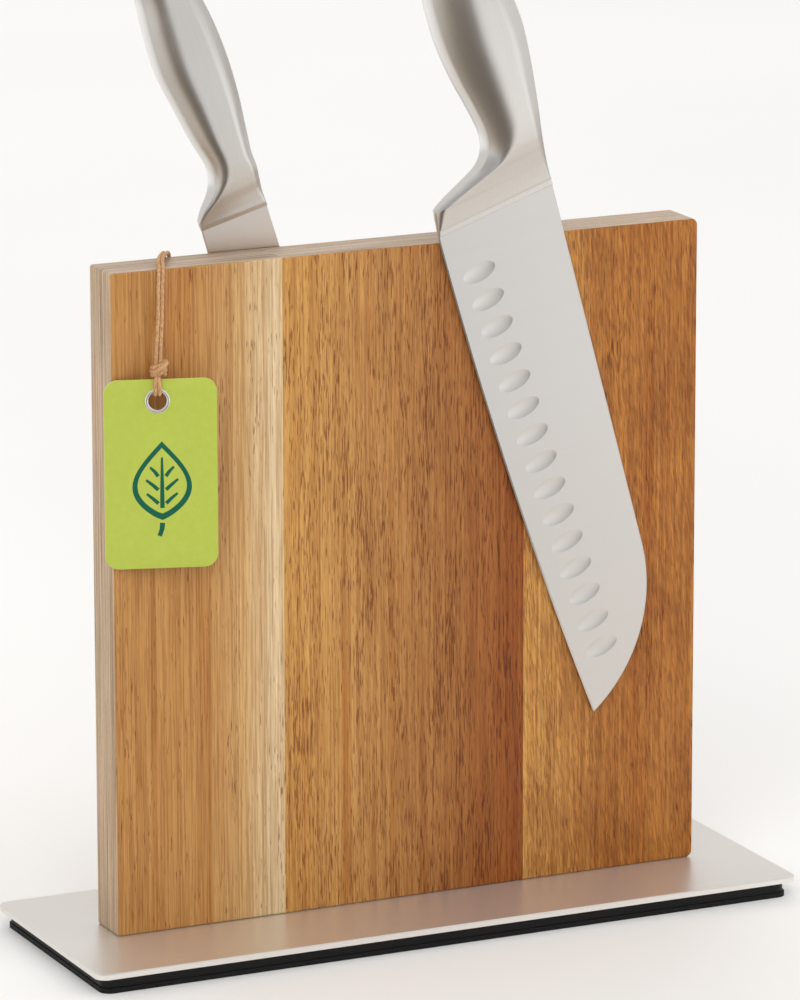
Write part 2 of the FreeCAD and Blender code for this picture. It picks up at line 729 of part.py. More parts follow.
def make_cord(name, points, tight=None):
    """A round cord along a route, and a check of its volume against its section and length."""
    radius = value("cord_diameter") / 2
    path, radii = tube_path(points, tight or {})
    start = (points[1] - points[0]).normalize()
    section = Part.Wire([Part.makeCircle(radius, points[0], start)])
    tube = path.makePipeShell([section], True, False)
    expected = math.pi * radius ** 2 * path.Length
    if abs(tube.Volume - expected) > VOLUME_TOLERANCE * expected:
        raise RuntimeError(f"{name} volume {tube.Volume:.2f}, expected {expected:.2f}")
    cord = doc.addObject("Part::Feature", name)
    cord.Shape = tube
    label(cord, name)
    print(name, "length", round(path.Length, 1), "radii", [round(r, 2) for r in radii])


def make_cord_and_knot():
    """Two strands from the seal behind, over the board's top to the knot, and through the eyelet."""
    lay = value("cord_diameter") / 2 + value("cord_play")
    front = -value("panel_thick") - lay
    back = value("panel_thick") + lay
    top = value(BOARD_TOP) + lay
    edge = value("edge_round")
    wrap = edge + lay
    strands = {
        # name: (X under the seal, X at the back edge, X at the front edge, X in the knot,
        #        height of the end, place beside the eyelet's middle)
        "left": (-82.1, -82.2, -92.9, -95.9, 216.5, -0.85),
        "right": (-80.0, -80.4, -91.1, -94.2, 214.5, 0.85),
    }
    for side, (x_end, x_back, x_front, x_knot, z_end, beside) in strands.items():
        rear = [V(x_end, back, z_end), V(x_back, back, top),
                V(x_front, -value("panel_thick") + edge, top)]
        make_cord(f"cord_{side}_rear", rear, {1: wrap})
        hanging = [V(x_front, front, value(BOARD_TOP) - edge),
                   V(x_knot, value("knot_y") + value("knot_entry_back"),
                     value("knot_z") + value("knot_entry_up"))]
        make_cord(f"cord_{side}_front", hanging)
        across = value("eyelet_side") + beside
        out = value("loop_out")
        low, high = value("eyelet_up + loop_low"), value("eyelet_up + loop_high")
        loop = [on_tag(across, out, high), on_tag(across, out, low),
                on_tag(across, -out, low), on_tag(across, -out, high)]
        make_cord(f"cord_{side}_loop", loop)

    knot = doc.addObject("Part::Ellipsoid", "tag_knot")
    bind(knot, Radius1="knot_depth", Radius2="knot_radius", Radius3="knot_half_height")
    place(knot, "knot_x", "knot_y", "knot_z")
    label(knot, "tag_knot")


def make_seal():
    """A low paper dome on the back face, channelled for the two cord ends under it."""
    dome = doc.addObject("Part::Cone", "seal_dome")
    bind(dome, Radius1="seal_radius", Radius2="seal_crown", Height="seal_thick")
    place(dome, "seal_x", "panel_thick", "seal_z", X_AXIS, -90)
    channel = doc.addObject("Part::Box", "seal_channel")
    bind(channel, Length="(cord_diameter + seal_channel_side) * 2",
         Width="cord_diameter + seal_channel_play", Height="seal_radius * 2")
    place(channel, "seal_x - cord_diameter - seal_channel_side", "panel_thick",
          "seal_z - seal_channel_low")
    label(cut("cord_seal", dome, channel), "cord_seal")


# ---------------------------------------------------------------------------------------------
# Build, check and write
# ---------------------------------------------------------------------------------------------
def finished_nodes():
    """The objects that are pieces of the real thing: those no other object is built from."""
    nodes = []
    for item in doc.Objects:
        if item.TypeId == "PartDesign::Body":
            nodes.append(item)
        elif item.isDerivedFrom("Part::Feature") and not item.isDerivedFrom("PartDesign::Feature"):
            used = [user for user in item.InList if user.isDerivedFrom("Part::Feature")]
            sketchy = item.TypeId.startswith("Sketcher")
            if not used and not sketchy and item.Shape.Solids:
                nodes.append(item)
    return nodes


def write_nodes():
    doc.recompute()
    failed = [item.Name for item in doc.Objects
              if "Invalid" in item.State or "Error" in item.State]
    if failed:
        raise RuntimeError(f"failed objects: {failed}")
    os.makedirs("parts", exist_ok=True)
    nodes = finished_nodes()
    for node in nodes:
        if node.Shape.isNull() or not node.Shape.isValid() or not node.Shape.Solids:
            raise RuntimeError(f"{node.Label} has a bad shape")
        node.Shape.exportStep(f"parts/{node.Label}.step")
    box = FreeCAD.BoundBox()
    for node in nodes:
        box.add(node.Shape.BoundBox)
    print(len(nodes), "nodes, box", [round(size, 2) for size in
                                     (box.XMin, box.XMax, box.YMin, box.YMax, box.ZMin, box.ZMax)])


fill_sheet()
make_base()
make_screws()
for panel_name, panel_sign in (("front", -1), ("back", 1)):
    for stave_side in STAVES:
        make_stave(panel_name, stave_side, panel_sign)
    make_magnets(panel_name, panel_sign)
for knife_name, knife_sections in (("santoku", SANTOKU_SECTIONS), ("utility", UTILITY_SECTIONS)):
    blade = make_blade(knife_name)
    if knife_name == "santoku":
        add_dimples(blade)
    stand(blade, knife_name)
    make_handle(knife_name, len(knife_sections))
make_tag()
make_cord_and_knot()
make_seal()
write_nodes()
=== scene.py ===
"""Looks of the magnetic knife block: wood, steel, knives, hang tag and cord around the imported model.

Everything is in the row frame: +X to the right along the board, +Y to the back, +Z up, and the
origin under the middle of the base. Shapes are written in millimetres and scaled once to metres.
"""

import math

import bmesh
import bpy
from mathutils import Matrix, Vector, noise
from mathutils.geometry import delaunay_2d_cdt


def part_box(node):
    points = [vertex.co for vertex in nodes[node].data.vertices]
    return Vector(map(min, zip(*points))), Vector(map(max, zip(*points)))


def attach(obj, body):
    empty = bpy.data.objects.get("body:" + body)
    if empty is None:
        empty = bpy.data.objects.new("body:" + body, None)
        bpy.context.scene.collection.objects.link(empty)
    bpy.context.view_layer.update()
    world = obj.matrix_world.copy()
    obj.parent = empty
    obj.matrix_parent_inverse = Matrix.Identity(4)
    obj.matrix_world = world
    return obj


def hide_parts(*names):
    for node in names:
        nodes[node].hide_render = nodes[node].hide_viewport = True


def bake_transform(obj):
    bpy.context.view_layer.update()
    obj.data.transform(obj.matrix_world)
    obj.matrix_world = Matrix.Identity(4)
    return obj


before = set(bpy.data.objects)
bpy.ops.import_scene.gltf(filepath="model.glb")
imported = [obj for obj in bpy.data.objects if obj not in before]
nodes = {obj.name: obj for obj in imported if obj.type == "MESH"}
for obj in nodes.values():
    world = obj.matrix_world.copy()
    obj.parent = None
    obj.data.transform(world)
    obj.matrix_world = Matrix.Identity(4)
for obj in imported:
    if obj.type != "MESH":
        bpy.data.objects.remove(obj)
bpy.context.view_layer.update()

MM = 0.001
BOARD_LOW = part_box("front_stave_left")[0]
BOARD_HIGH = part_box("back_stave_right")[1]
JOINT_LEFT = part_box("front_stave_left")[1].x
JOINT_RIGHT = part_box("front_stave_right")[0].x


# ---- Small mesh helpers ----
def finish_piece(name, mesh, body, material, replaces=(), place=None):
    """Turn a mesh in millimetres into a piece on a body, in the place of some CAD nodes."""
    mesh.transform(Matrix.Scale(MM, 4))
    if place:
        mesh.transform(place)
    mesh.validate()
    piece = bpy.data.objects.new(name, mesh)
    bpy.context.scene.collection.objects.link(piece)
    piece.data.materials.clear()
    piece.data.materials.append(material)
    if body:
        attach(piece, body)
    if replaces:
        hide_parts(*replaces)
    return piece


def clean(mesh, nearness):
    """Join the points that coincide and turn the normals outwards."""
    edited = bmesh.new()
    edited.from_mesh(mesh)
    bmesh.ops.remove_doubles(edited, verts=edited.verts, dist=nearness)
    bmesh.ops.recalc_face_normals(edited, faces=edited.faces)
    edited.to_mesh(mesh)
    edited.free()


def mesh_of_curve(curve):
    """The mesh that a curve makes; the curve itself is used up."""
    carrier = bpy.data.objects.new(curve.name, curve)
    mesh = bpy.data.meshes.new_from_object(carrier)
    bpy.data.objects.remove(carrier)
    bpy.data.curves.remove(curve)
    return mesh


def mesh_from(name, points, faces, sharp_degrees=None):
    """A closed smooth mesh with its normals outwards, sharp where faces meet at a steeper angle."""
    mesh = bpy.data.meshes.new(name)
    mesh.from_pydata([tuple(point) for point in points], [], faces)
    clean(mesh, 1e-4)
    mesh.shade_smooth()
    if sharp_degrees is not None:
        mesh.set_sharp_from_angle(angle=math.radians(sharp_degrees))
    return mesh


def ring_quads(near, far, count):
    """Faces that join two rings of points, which start at near and far."""
    quads = []
    for step in range(count):
        beside = (step + 1) % count
        quads.append((near + step, near + beside, far + beside, far + step))
    return quads


def skin(rings):
    """Points and faces of a closed surface through rings of equal length, capped at both ends."""
    count = len(rings[0])
    points = [point for ring in rings for point in ring]
    faces = []
    for row in range(len(rings) - 1):
        faces += ring_quads(row * count, (row + 1) * count, count)
    faces.append(tuple(range(count - 1, -1, -1)))
    faces.append(tuple(range(len(points) - count, len(points))))
    return points, faces


def lathe(name, profile, segments):
    """A ring turned about the Y axis from a closed profile of (radius, y) points."""
    points, faces = [], []
    for segment in range(segments):
        angle = 2 * math.pi * segment / segments
        points += [(radius * math.cos(angle), y, radius * math.sin(angle)) for radius, y in profile]
    count = len(profile)
    for segment in range(segments):
        faces += ring_quads(segment * count, (segment + 1) % segments * count, count)
    return mesh_from(name, points, faces, 40)


def between(low, high, share):
    return low + (high - low) * share


def smooth_rows(stations, steps):
    """Rows between stations of equal length, on a Catmull-Rom curve through every number."""
    rows = []
    last = len(stations) - 1
    for index in range(last):
        before, here = stations[max(index - 1, 0)], stations[index]
        ahead, after = stations[index + 1], stations[min(index + 2, last)]
        for step in range(steps):
            share = step / steps
            row = []
            for a, b, c, d in zip(before, here, ahead, after):
                slope_b, slope_c = (c - a) / 2, (d - b) / 2
                cubic = 2 * (b - c) + slope_b + slope_c
                square = 3 * (c - b) - 2 * slope_b - slope_c
                row.append(b + share * (slope_b + share * (square + share * cubic)))
            rows.append(row)
    rows.append(list(stations[last]))
    return rows


# ---- Material helpers ----
class Surface:
    """A node material with one Principled shader, and short calls for the nodes it uses."""

    def __init__(self, name, **sockets):
        self.material = bpy.data.materials.new(name)
        self.material.use_nodes = True
        self.tree = self.material.node_tree
        self.shader = self.tree.nodes["Principled BSDF"]
        for socket, number in sockets.items():
            self.shader.inputs[socket.replace("_", " ")].default_value = number
        self.here = self.add("ShaderNodeTexCoord").outputs["Object"]

    def add(self, kind, **properties):
        node = self.tree.nodes.new(kind)
        for key, setting in properties.items():
            setattr(node, key, setting)
        return node

    def plug(self, socket, source):
        """Link an output to an input, or set the input to a plain number or colour."""
        if isinstance(source, bpy.types.NodeSocket):
            self.tree.links.new(source, socket)
        else:
            socket.default_value = source

    def scaled(self, x, y, z, turn=0.0, shift=(0, 0, 0)):
        """The place on the object turned about Y, and multiplied along each axis."""
        mapping = self.add("ShaderNodeMapping")
        self.plug(mapping.inputs["Vector"], self.here)
        mapping.inputs["Rotation"].default_value = (0, turn, 0)
        stretch = self.add("ShaderNodeVectorMath", operation="MULTIPLY_ADD")
        self.plug(stretch.inputs[0], mapping.outputs[0])
        stretch.inputs[1].default_value = (x, y, z)
        stretch.inputs[2].default_value = shift
        return stretch.outputs[0]

    def noise(self, vector, detail=2.0, roughness=0.5, distortion=0.0):
        node = self.add("ShaderNodeTexNoise")
        self.plug(node.inputs["Vector"], vector)
        node.inputs["Scale"].default_value = 1.0
        node.inputs["Detail"].default_value = detail
        node.inputs["Roughness"].default_value = roughness
        node.inputs["Distortion"].default_value = distortion
        return node.outputs["Fac"]

    def math(self, operation, first, second=0.0, third=0.0):
        node = self.add("ShaderNodeMath", operation=operation)
        for socket, source in zip(node.inputs, (first, second, third)):
            self.plug(socket, source)
        return node.outputs[0]

    def span(self, source, low, high, to_low=0.0, to_high=1.0):
        """Map a range to another, smoothly and without going past its ends."""
        node = self.add("ShaderNodeMapRange", interpolation_type="SMOOTHSTEP")
        for socket, number in zip(node.inputs, (source, low, high, to_low, to_high)):
            self.plug(socket, number)
        return node.outputs[0]

    def ramp(self, source, stops):
        node = self.add("ShaderNodeValToRGB")
        self.plug(node.inputs[0], source)
        band = node.color_ramp
        while len(band.elements) < len(stops):
            band.elements.new(0.5)
        for element, (position, colour) in zip(band.elements, stops):
            element.position = position
            element.color = (*colour, 1)
        return node.outputs[0]

    def mix(self, share, first, second, blend_type="MIX"):
        node = self.add("ShaderNodeMix", data_type="RGBA", blend_type=blend_type)
        self.plug(node.inputs[0], share)
        for socket, source in ((node.inputs[6], first), (node.inputs[7], second)):
            self.plug(socket, (*source, 1) if isinstance(source, tuple) else source)
        return node.outputs[2]

    def split(self, vector):
        node = self.add("ShaderNodeSeparateXYZ")
        self.plug(node.inputs[0], vector)
        return node.outputs

    def bump(self, height, distance, strength=1.0):
        node = self.add("ShaderNodeBump")
        node.inputs["Distance"].default_value = distance
        node.inputs["Strength"].default_value = strength
        self.plug(node.inputs["Height"], height)
        self.plug(self.shader.inputs["Normal"], node.outputs[0])

    def colour(self, source):
        self.plug(self.shader.inputs["Base Color"], (*source, 1) if isinstance(source, tuple) else source)

    def roughness(self, source):
        self.plug(self.shader.inputs["Roughness"], source)


def srgb(red, green, blue):
    """A colour as it shows on a screen, turned into light."""
    return tuple(((part / 255 + 0.055) / 1.055) ** 2.4 if part > 10 else part / 255 / 12.92
                 for part in (red, green, blue))


# ---- Wood ----
SAPWOOD = srgb(220, 195, 155)
SAND = srgb(205, 165, 110)
HONEY = srgb(190, 140, 80)
AMBER = srgb(205, 155, 85)
UMBER = srgb(175, 115, 50)
CHESTNUT = srgb(150, 85, 30)
# Colours across each stave: (place from its left side to its right side, colour).
WOOD_BANDS = {
    "left": [(0, HONEY), (0.5, HONEY), (0.75, SAND), (0.92, SAPWOOD)],
    "middle": [(0, AMBER), (0.35, HONEY), (0.95, CHESTNUT)],
    "right": [(0, AMBER), (0.5, UMBER)],
}
# Grain of the ends and top: partly the wood's own edge colour, partly painted sheen that makes it paler and
# greyer
EDGE_DARK, EDGE_LIGHT = srgb(122, 92, 62), srgb(214, 187, 156)
TOP_SHEEN_TINT = (0.98, 1.06, 1.22)       # painted sheen: the board's top is made greyer than its ends
LINE_TINT = (0.76, 0.63, 0.50)      # darker growth lines
HAIR_TINT = (0.66, 0.54, 0.44)      # fine dark hairlines
STREAK_TINT = (0.86, 0.70, 0.52)    # reddish streaks
GLINT_TINT = (1.20, 1.22, 1.26)     # pale fibres between the hairlines
FLECK_TINT = (0.60, 0.48, 0.38)     # short dark flecks of the mottled staves
GOLD_TINT = (1.28, 1.26, 1.12)      # and their light ones
PATCH_TINT = (0.80, 0.72, 0.66)     # and their broad darker patches
PORE_TINT = (0.45, 0.29, 0.18)


# Grain layers over the bands, from broad to fine: (fineness across, fineness up, detail, where the
# tint starts and is full, how strong it gets, tint).
GRAIN_LAYERS = [
    (150, 3.5, 2, 0.52, 0.70, 0.8, STREAK_TINT),
    (420, 4, 3, 0.42, 0.66, 0.46, LINE_TINT),
    (1000, 9, 2, 0.45, 0.64, 0.38, LINE_TINT),
    (1750, 32, 2, 0.46, 0.60, 0.58, HAIR_TINT),
]
PORE_STRENGTH = 0.82


def wood(name, bands, left, right, seed, pores, mottle, flip=False):
    """Oiled wood with its grain upright: bands across, fine hairlines, short dark pores."""
    wooden = Surface(name, Specular_IOR_Level=0.3)
    shift = (seed * 7.3, seed * 3.1, seed * 5.7)
    wander = wooden.noise(wooden.scaled(22, 22, 5.5, shift=shift), 2)
    across = wooden.split(wooden.here)[0]
    bent = wooden.math("MULTIPLY_ADD", wooden.math("SUBTRACT", wander, 0.5), 0.010, across)
    start, finish = (right, left) if flip else (left, right)
    share = wooden.add("ShaderNodeMapRange")
    for socket, number in zip(share.inputs, (bent, start, finish, 0.0, 1.0)):
        wooden.plug(socket, number)
    face = wooden.ramp(share.outputs[0], bands)

    def tint(below, vector, detail, low, high, most, colour):
        mask = wooden.span(wooden.noise(vector, detail, 0.6), low, high, 0.0, most)
        return wooden.mix(mask, below, colour, "MULTIPLY")

    for fine, upright, *mask, colour in GRAIN_LAYERS:
        face = tint(face, wooden.scaled(fine, fine, upright, shift=shift), *mask, colour)
    face = tint(face, wooden.scaled(2300, 2300, 90, shift=(seed, 0, 4)), 2, 0.50, 0.70, 0.6, GLINT_TINT)
    flecks = wooden.scaled(1500, 1500, 170, turn=0.12, shift=shift)
    face = tint(face, flecks, 2, 0.46, 0.62, mottle * 0.72, FLECK_TINT)
    gold = wooden.scaled(1700, 1700, 120, turn=0.08, shift=(seed, 3, 1))
    face = tint(face, gold, 2, 0.50, 0.64, mottle * 0.9, GOLD_TINT)
    patches = wooden.scaled(70, 70, 30, turn=0.5, shift=shift)
    face = tint(face, patches, 3, 0.42, 0.66, mottle, PATCH_TINT)

    dashes = wooden.noise(wooden.scaled(2500, 2500, 165, shift=shift), 1.5, 0.5)
    crowd = wooden.noise(wooden.scaled(120, 120, 14, shift=shift), 3, 0.6)
    threshold = wooden.math("MULTIPLY_ADD", wooden.math("SUBTRACT", 0.6, crowd), 0.45, 0.62 - pores)
    pore = wooden.span(wooden.math("SUBTRACT", dashes, threshold), 0.0, 0.07)
    face = wooden.mix(wooden.math("MULTIPLY", pore, PORE_STRENGTH), face, PORE_TINT, "MULTIPLY")

    normal = wooden.split(wooden.add("ShaderNodeTexCoord").outputs["Normal"])
    on_face = wooden.span(wooden.math("ABSOLUTE", normal[1]), 0.45, 0.75)
    layers = wooden.noise(wooden.scaled(16, 1500, 16, shift=shift), 5, 0.8, 0.3)
    cells = wooden.noise(wooden.scaled(1400, 1400, 500), 2)
    # The ends and top get their own grain, in colours that are partly painted sheen
    edge = wooden.ramp(layers, [(0.32, EDGE_DARK), (0.6, EDGE_LIGHT)])
    edge = wooden.mix(wooden.span(cells, 0.46, 0.7, 0.0, 0.3), edge, LINE_TINT, "MULTIPLY")
    # Painted sheen: faces turned up are tinted paler and greyer, the way glancing light makes them look
    edge = wooden.mix(wooden.span(normal[2], 0.4, 0.8), edge, wooden.mix(1.0, edge, TOP_SHEEN_TINT, "MULTIPLY"))
    wooden.colour(wooden.mix(on_face, edge, face))

    wooden.roughness(wooden.math("MULTIPLY_ADD", dashes, 0.16, 0.40))
    wooden.bump(wooden.math("MULTIPLY", pore, -1.0), 0.00008, 0.5)
    return wooden.material


def dress_board():
    """Every stave gets its own wood, with the back panel's staves cut from other boards."""
    spans = {"left": (BOARD_LOW.x, JOINT_LEFT), "middle": (JOINT_LEFT, JOINT_RIGHT),
             "right": (JOINT_RIGHT, BOARD_HIGH.x)}
    character = {"left": (0.0, 0.14), "middle": (0.09, 0.3), "right": (0.03, 0.85)}
    for panel, seed, flip in (("front", 1.0, False), ("back", 4.0, True)):
        for number, (side, (left, right)) in enumerate(spans.items()):
            pores, mottle = character[side]
            material = wood(f"wood_{panel}_{side}", WOOD_BANDS[side], left, right, seed + number,
                            pores, mottle, flip)
            dress(f"{panel}_stave_{side}", material)


def dress(name, material):
    """Give a CAD node a finish."""
    nodes[name].data.materials.clear()
    nodes[name].data.materials.append(material)


# ---- Steel, rubber and the other finishes ----
ALONG_FINE, ACROSS_FINE = 24, 2600      # fineness of single scratches
ALONG_BROAD, ACROSS_BROAD = 6, 260      # and of the bands that they gather in


def brushed(name, colour, rough, along, turn=0.0, depth=0.35, sweep=0.08, metallic=1.0, streak=0.07):
    """Brushed stainless steel with its scratches along one direction of the turned frame."""
    steel = Surface(name, Metallic=metallic)
    fine_scale = [ALONG_FINE if axis else ACROSS_FINE for axis in along]
    broad_scale = [ALONG_BROAD if axis else ACROSS_BROAD for axis in along]
    fine = steel.noise(steel.scaled(*fine_scale, turn=turn), 3, 0.6)
    broad = steel.noise(steel.scaled(*broad_scale, turn=turn), 2)
    steel.colour(steel.ramp(fine, [(0.25, tuple(part * (1 - streak) for part in colour)), (0.75, colour)]))
    mixed = steel.math("ADD", steel.math("MULTIPLY", fine, sweep), steel.math("MULTIPLY", broad, sweep))
    steel.roughness(steel.math("ADD", mixed, rough - sweep))
    steel.bump(fine, 0.00001, depth)
    return steel.material


def plain(name, colour, rough, grain, bump, metallic=0.0, scale=600):
    """A finish with faint mottling and a fine grain."""
    finish = Surface(name, Metallic=metallic, Specular_IOR_Level=0.25)
    speck = finish.noise(finish.scaled(scale, scale, scale), 3, 0.6)
    darker = tuple(part * (1 - grain) for part in colour)
    finish.colour(finish.ramp(speck, [(0.3, darker), (0.7, colour)]))
    finish.roughness(finish.math("MULTIPLY_ADD", speck, 0.12, rough - 0.06))
    finish.bump(speck, bump)
    return finish.material


def dress_base():
    plate = brushed("steel_plate", (0.86, 0.83, 0.785), 0.34, (True, False, False), metallic=0.72)
    dress("base_plate", plate)
    dress("base_core", plain("core_lacquer", (0.004, 0.004, 0.004), 0.42, 0.3, 0.00001))
    dress("base_rubber_sheet", plain("black_rubber", (0.008, 0.008, 0.009), 0.62, 0.4, 0.00004))
    dress("base_screws", plain("zinc_screws", (0.62, 0.61, 0.58), 0.34, 0.1, 0.00001, metallic=1.0))
    nickel = plain("magnet_nickel", (0.66, 0.65, 0.62), 0.25, 0.06, 0.000005, metallic=1.0)
    for name in nodes:
        if "magnet" in name:
            dress(name, nickel)


# ---- Knives ----
# A knife's own frame: X across the blade from its cutting edge, Y through it to the back, Z up
# the knife from the heel. Then it is leaned to the left about Y and stood in its place.
#
# Handle stations from the blade's heel to the butt: where the belly and the spine are (up and
# across), the thickness, the belly side's share of it, the half width of the flat along the belly,
# how far in from the belly the side is still rounding, and the same two for the spine.
SANTOKU = {
    "body": "santoku", "place": (10.0, -10.2, 239.6), "lean": 15.3, "steel": (0.81, 0.795, 0.78),
    "length": 183.2, "width": 45.2, "thick": 2.0, "tip": 12.0, "belly": 4.0, "nose": 131.0, "step": 3.3,
    "handle": [
        (0.0, 0.1, 3.3, 45.3, 2.3, 0.42, 0.30, 0.3, 1.0, 0.4),
        (2.0, 0.3, 5.5, 45.1, 3.0, 0.52, 0.45, 0.5, 1.3, 0.5),
        (2.3, 0.3, 5.9, 45.1, 3.6, 0.62, 0.65, 0.8, 1.5, 0.6),
        (5.2, 0.5, 8.8, 44.95, 5.0, 0.80, 0.8, 1.8, 1.6, 0.9),
        (8.8, 0.7, 11.8, 44.8, 6.7, 0.95, 0.9, 3.2, 2.1, 1.3),
        (9.9, 1.6, 12.8, 44.75, 7.3, 1.0, 1.0, 4.0, 2.3, 1.5),
        (12.1, 5.9, 14.8, 44.65, 8.7, 1.0, 1.4, 5.6, 2.8, 1.8),
        (15.2, 13.4, 17.6, 44.5, 10.7, 1.0, 2.0, 7.2, 3.6, 2.2),
        (18.4, 20.2, 20.8, 44.35, 13.0, 1.0, 2.7, 8.4, 4.5, 2.6),
        (22.8, 24.0, 25.0, 44.35, 15.4, 1.0, 3.4, 9.2, 5.5, 3.1),
        (29.0, 25.2, 31.0, 44.8, 17.4, 1.0, 4.2, 10.0, 6.2, 3.8),
        (38.4, 23.3, 39.4, 45.4, 19.0, 1.0, 4.6, 11.4, 6.7, 4.6),
        (50.0, 20.3, 50.0, 46.1, 20.4, 1.0, 4.7, 13.4, 7.1, 5.2),
        (63.0, 18.1, 63.0, 46.3, 21.4, 1.0, 4.8, 14.0, 7.4, 5.6),
        (77.0, 17.6, 77.0, 44.5, 21.8, 1.0, 4.8, 13.6, 7.5, 5.6),
        (92.0, 18.4, 92.0, 42.1, 21.2, 1.0, 5.0, 12.4, 7.3, 5.4),
        (107.0, 17.4, 107.0, 39.9, 20.6, 1.0, 4.8, 12.0, 7.1, 5.2),
        (120.0, 13.8, 120.0, 38.5, 20.2, 1.0, 4.6, 12.6, 6.8, 5.2),
        (128.0, 11.9, 128.0, 36.7, 18.4, 1.0, 4.2, 12.6, 6.0, 5.0),
        (131.4, 13.2, 131.4, 34.3, 14.4, 1.0, 3.6, 10.0, 4.8, 4.6),
        (132.6, 16.4, 132.6, 30.7, 8.4, 1.0, 2.4, 6.4, 2.8, 3.6),
    ],
}
UTILITY = {
    "body": "utility_knife", "place": (-68.5, 10.2, 245.1), "lean": 18.0, "steel": (0.90, 0.835, 0.78),
    "length": 128.0, "width": 24.8, "thick": 1.8, "tip": 8.5, "belly": 1.2, "nose": 70.0, "step": 0.0,
    "handle": [
        (0.0, -0.1, -0.7, 25.0, 1.95, 0.48, 0.28, 0.2, 0.8, 0.3),
        (1.5, -0.15, 0.8, 24.9, 3.05, 0.64, 0.7, 0.4, 1.1, 0.4),
        (1.7, -0.2, 1.0, 24.9, 3.15, 0.68, 0.8, 0.5, 1.15, 0.5),
        (3.4, 0.0, 3.2, 24.8, 3.7, 0.85, 1.2, 1.2, 1.3, 0.9),
        (6.4, 2.3, 6.6, 24.6, 5.4, 1.0, 1.9, 2.6, 1.8, 1.6),
        (10.2, 6.3, 10.6, 24.5, 8.4, 1.0, 2.8, 3.0, 3.1, 2.0),
        (14.6, 8.9, 15.1, 24.5, 11.2, 1.0, 3.4, 3.8, 4.1, 2.4),
        (20.4, 9.4, 20.8, 24.0, 13.2, 1.0, 3.8, 4.6, 4.8, 3.0),
        (30.0, 7.1, 30.0, 24.7, 14.8, 1.0, 4.0, 5.6, 5.2, 3.8),
        (42.0, 4.9, 42.0, 25.6, 15.8, 1.0, 4.1, 6.6, 5.6, 4.4),
        (56.0, 2.6, 56.0, 25.7, 16.6, 1.0, 4.2, 7.4, 5.8, 4.7),
        (70.0, 2.7, 70.0, 24.5, 16.4, 1.0, 4.2, 7.4, 5.8, 4.6),
        (83.0, 3.5, 83.0, 22.2, 15.8, 1.0, 4.0, 6.8, 5.5, 4.4),
        (96.0, 1.6, 96.0, 20.3, 15.4, 1.0, 3.9, 6.6, 5.4, 4.2),
        (104.5, -1.0, 104.5, 18.9, 14.8, 1.0, 3.8, 7.0, 5.1, 4.2),
        (109.2, 0.2, 109.2, 16.7, 11.4, 1.0, 3.0, 6.4, 3.9, 3.6),
        (110.4, 2.8, 110.4, 13.3, 6.8, 1.0, 2.0, 4.4, 2.3, 2.6),
    ],
}
EDGE_HALF = 0.15          # half thickness that the flat grind would reach at the cutting edge
GRIND_OVERRUN = 2.0       # the grind starts this far outside the cutting edge
EDGE_BEVEL = 0.5          # width of the honed bevel along the cutting edge
SPINE_ROUND = 0.25        # how far the spine's corners are eased
CREASE_ROUND = 0.22       # radius that softens the creases of a handle
STEPS = 10                # rows from one handle station to the next
BELLY_BOW = 0.55          # share of the blade's length at which the cutting edge bows most
TIP_STOP = 0.9985         # share of the rows' run at which they stop, just short of the tip
TIP_CROWDING = 1.25       # how much closer the rows are near the tip
EDGE_THIN = 0.03          # share of the grind's thickness left at the honed edge
SPINE_THIN = 0.72         # and at the eased spine
BELLY_SLOPE = 2.1         # how steeply a handle's side falls to its belly
SPINE_SLOPE = 1.2         # and to its spine
DIMPLE = {"count": 15, "first": (11.3, -16.7), "pitch": 10.33, "drift": 0.68, "turn": 8.0,
          "long": 6.3, "short": 3.15, "depth": 0.42, "ball": 1.0, "sides": 56}


def knife_place(knife):
    """From a knife's own frame, in metres, to the row frame."""
    stand = Matrix.Translation(Vector(knife["place"]) * MM)
    return stand @ Matrix.Rotation(-math.radians(knife["lean"]), 4, "Y")


def half_thickness(knife, across):
    """Half the blade's thickness on the flat grind, at a distance from the cutting edge."""
    share = (across + GRIND_OVERRUN) / (knife["width"] + GRIND_OVERRUN)
    return between(EDGE_HALF, knife["thick"] / 2, share)


def blade_outline(knife, share):
    """The cutting edge and the spine, as (across, up), at a share of the way from heel to tip."""
    length, width, tip = knife["length"], knife["width"], knife["tip"]
    bend = (tip - knife["belly"] / BELLY_BOW) / (1 - BELLY_BOW)
    edge = (share * (tip - bend * (1 - share)), -length * share)
    up = between(knife["step"], -length, share)
    drop, run = width - tip, length - knife["nose"]
    nose_radius = (run ** 2 + drop ** 2) / (2 * drop)
    past = max(0.0, -up - knife["nose"])
    spine = (width - nose_radius + math.sqrt(nose_radius ** 2 - past ** 2), up)
    return edge, spine


def blade_sections(knife, rows=150):
    """Across the blade at each row: cutting edge, bevel, eased spine and spine, with half thicknesses."""
    sections = []
    for row in range(rows + 1):
        share = 1 - (1 - min(row / rows, TIP_STOP)) ** TIP_CROWDING
        edge, spine = (Vector(place) for place in blade_outline(knife, share))
        width = (spine - edge).length
        across = (spine - edge).normalized()
        bevel = min(EDGE_BEVEL, width * 0.3)
        ease = min(SPINE_ROUND, width * 0.2)
        section = []
        for offset, thin in ((0.0, EDGE_THIN), (bevel, 1.0), (width - ease, 1.0), (width, SPINE_THIN)):
            place = edge + across * offset
            section.append((place, half_thickness(knife, place.x) * thin))
        sections.append(section)
    return sections


def dimple_centres(face):
    """Middles of one face's dimples; those of the back face are half a step on."""
    steps = [number + (0.5 if face > 0 else 0.0) for number in range(DIMPLE["count"])]
    across, up = DIMPLE["first"]
    return [Vector((across + step * DIMPLE["drift"], up - step * DIMPLE["pitch"])) for step in steps]


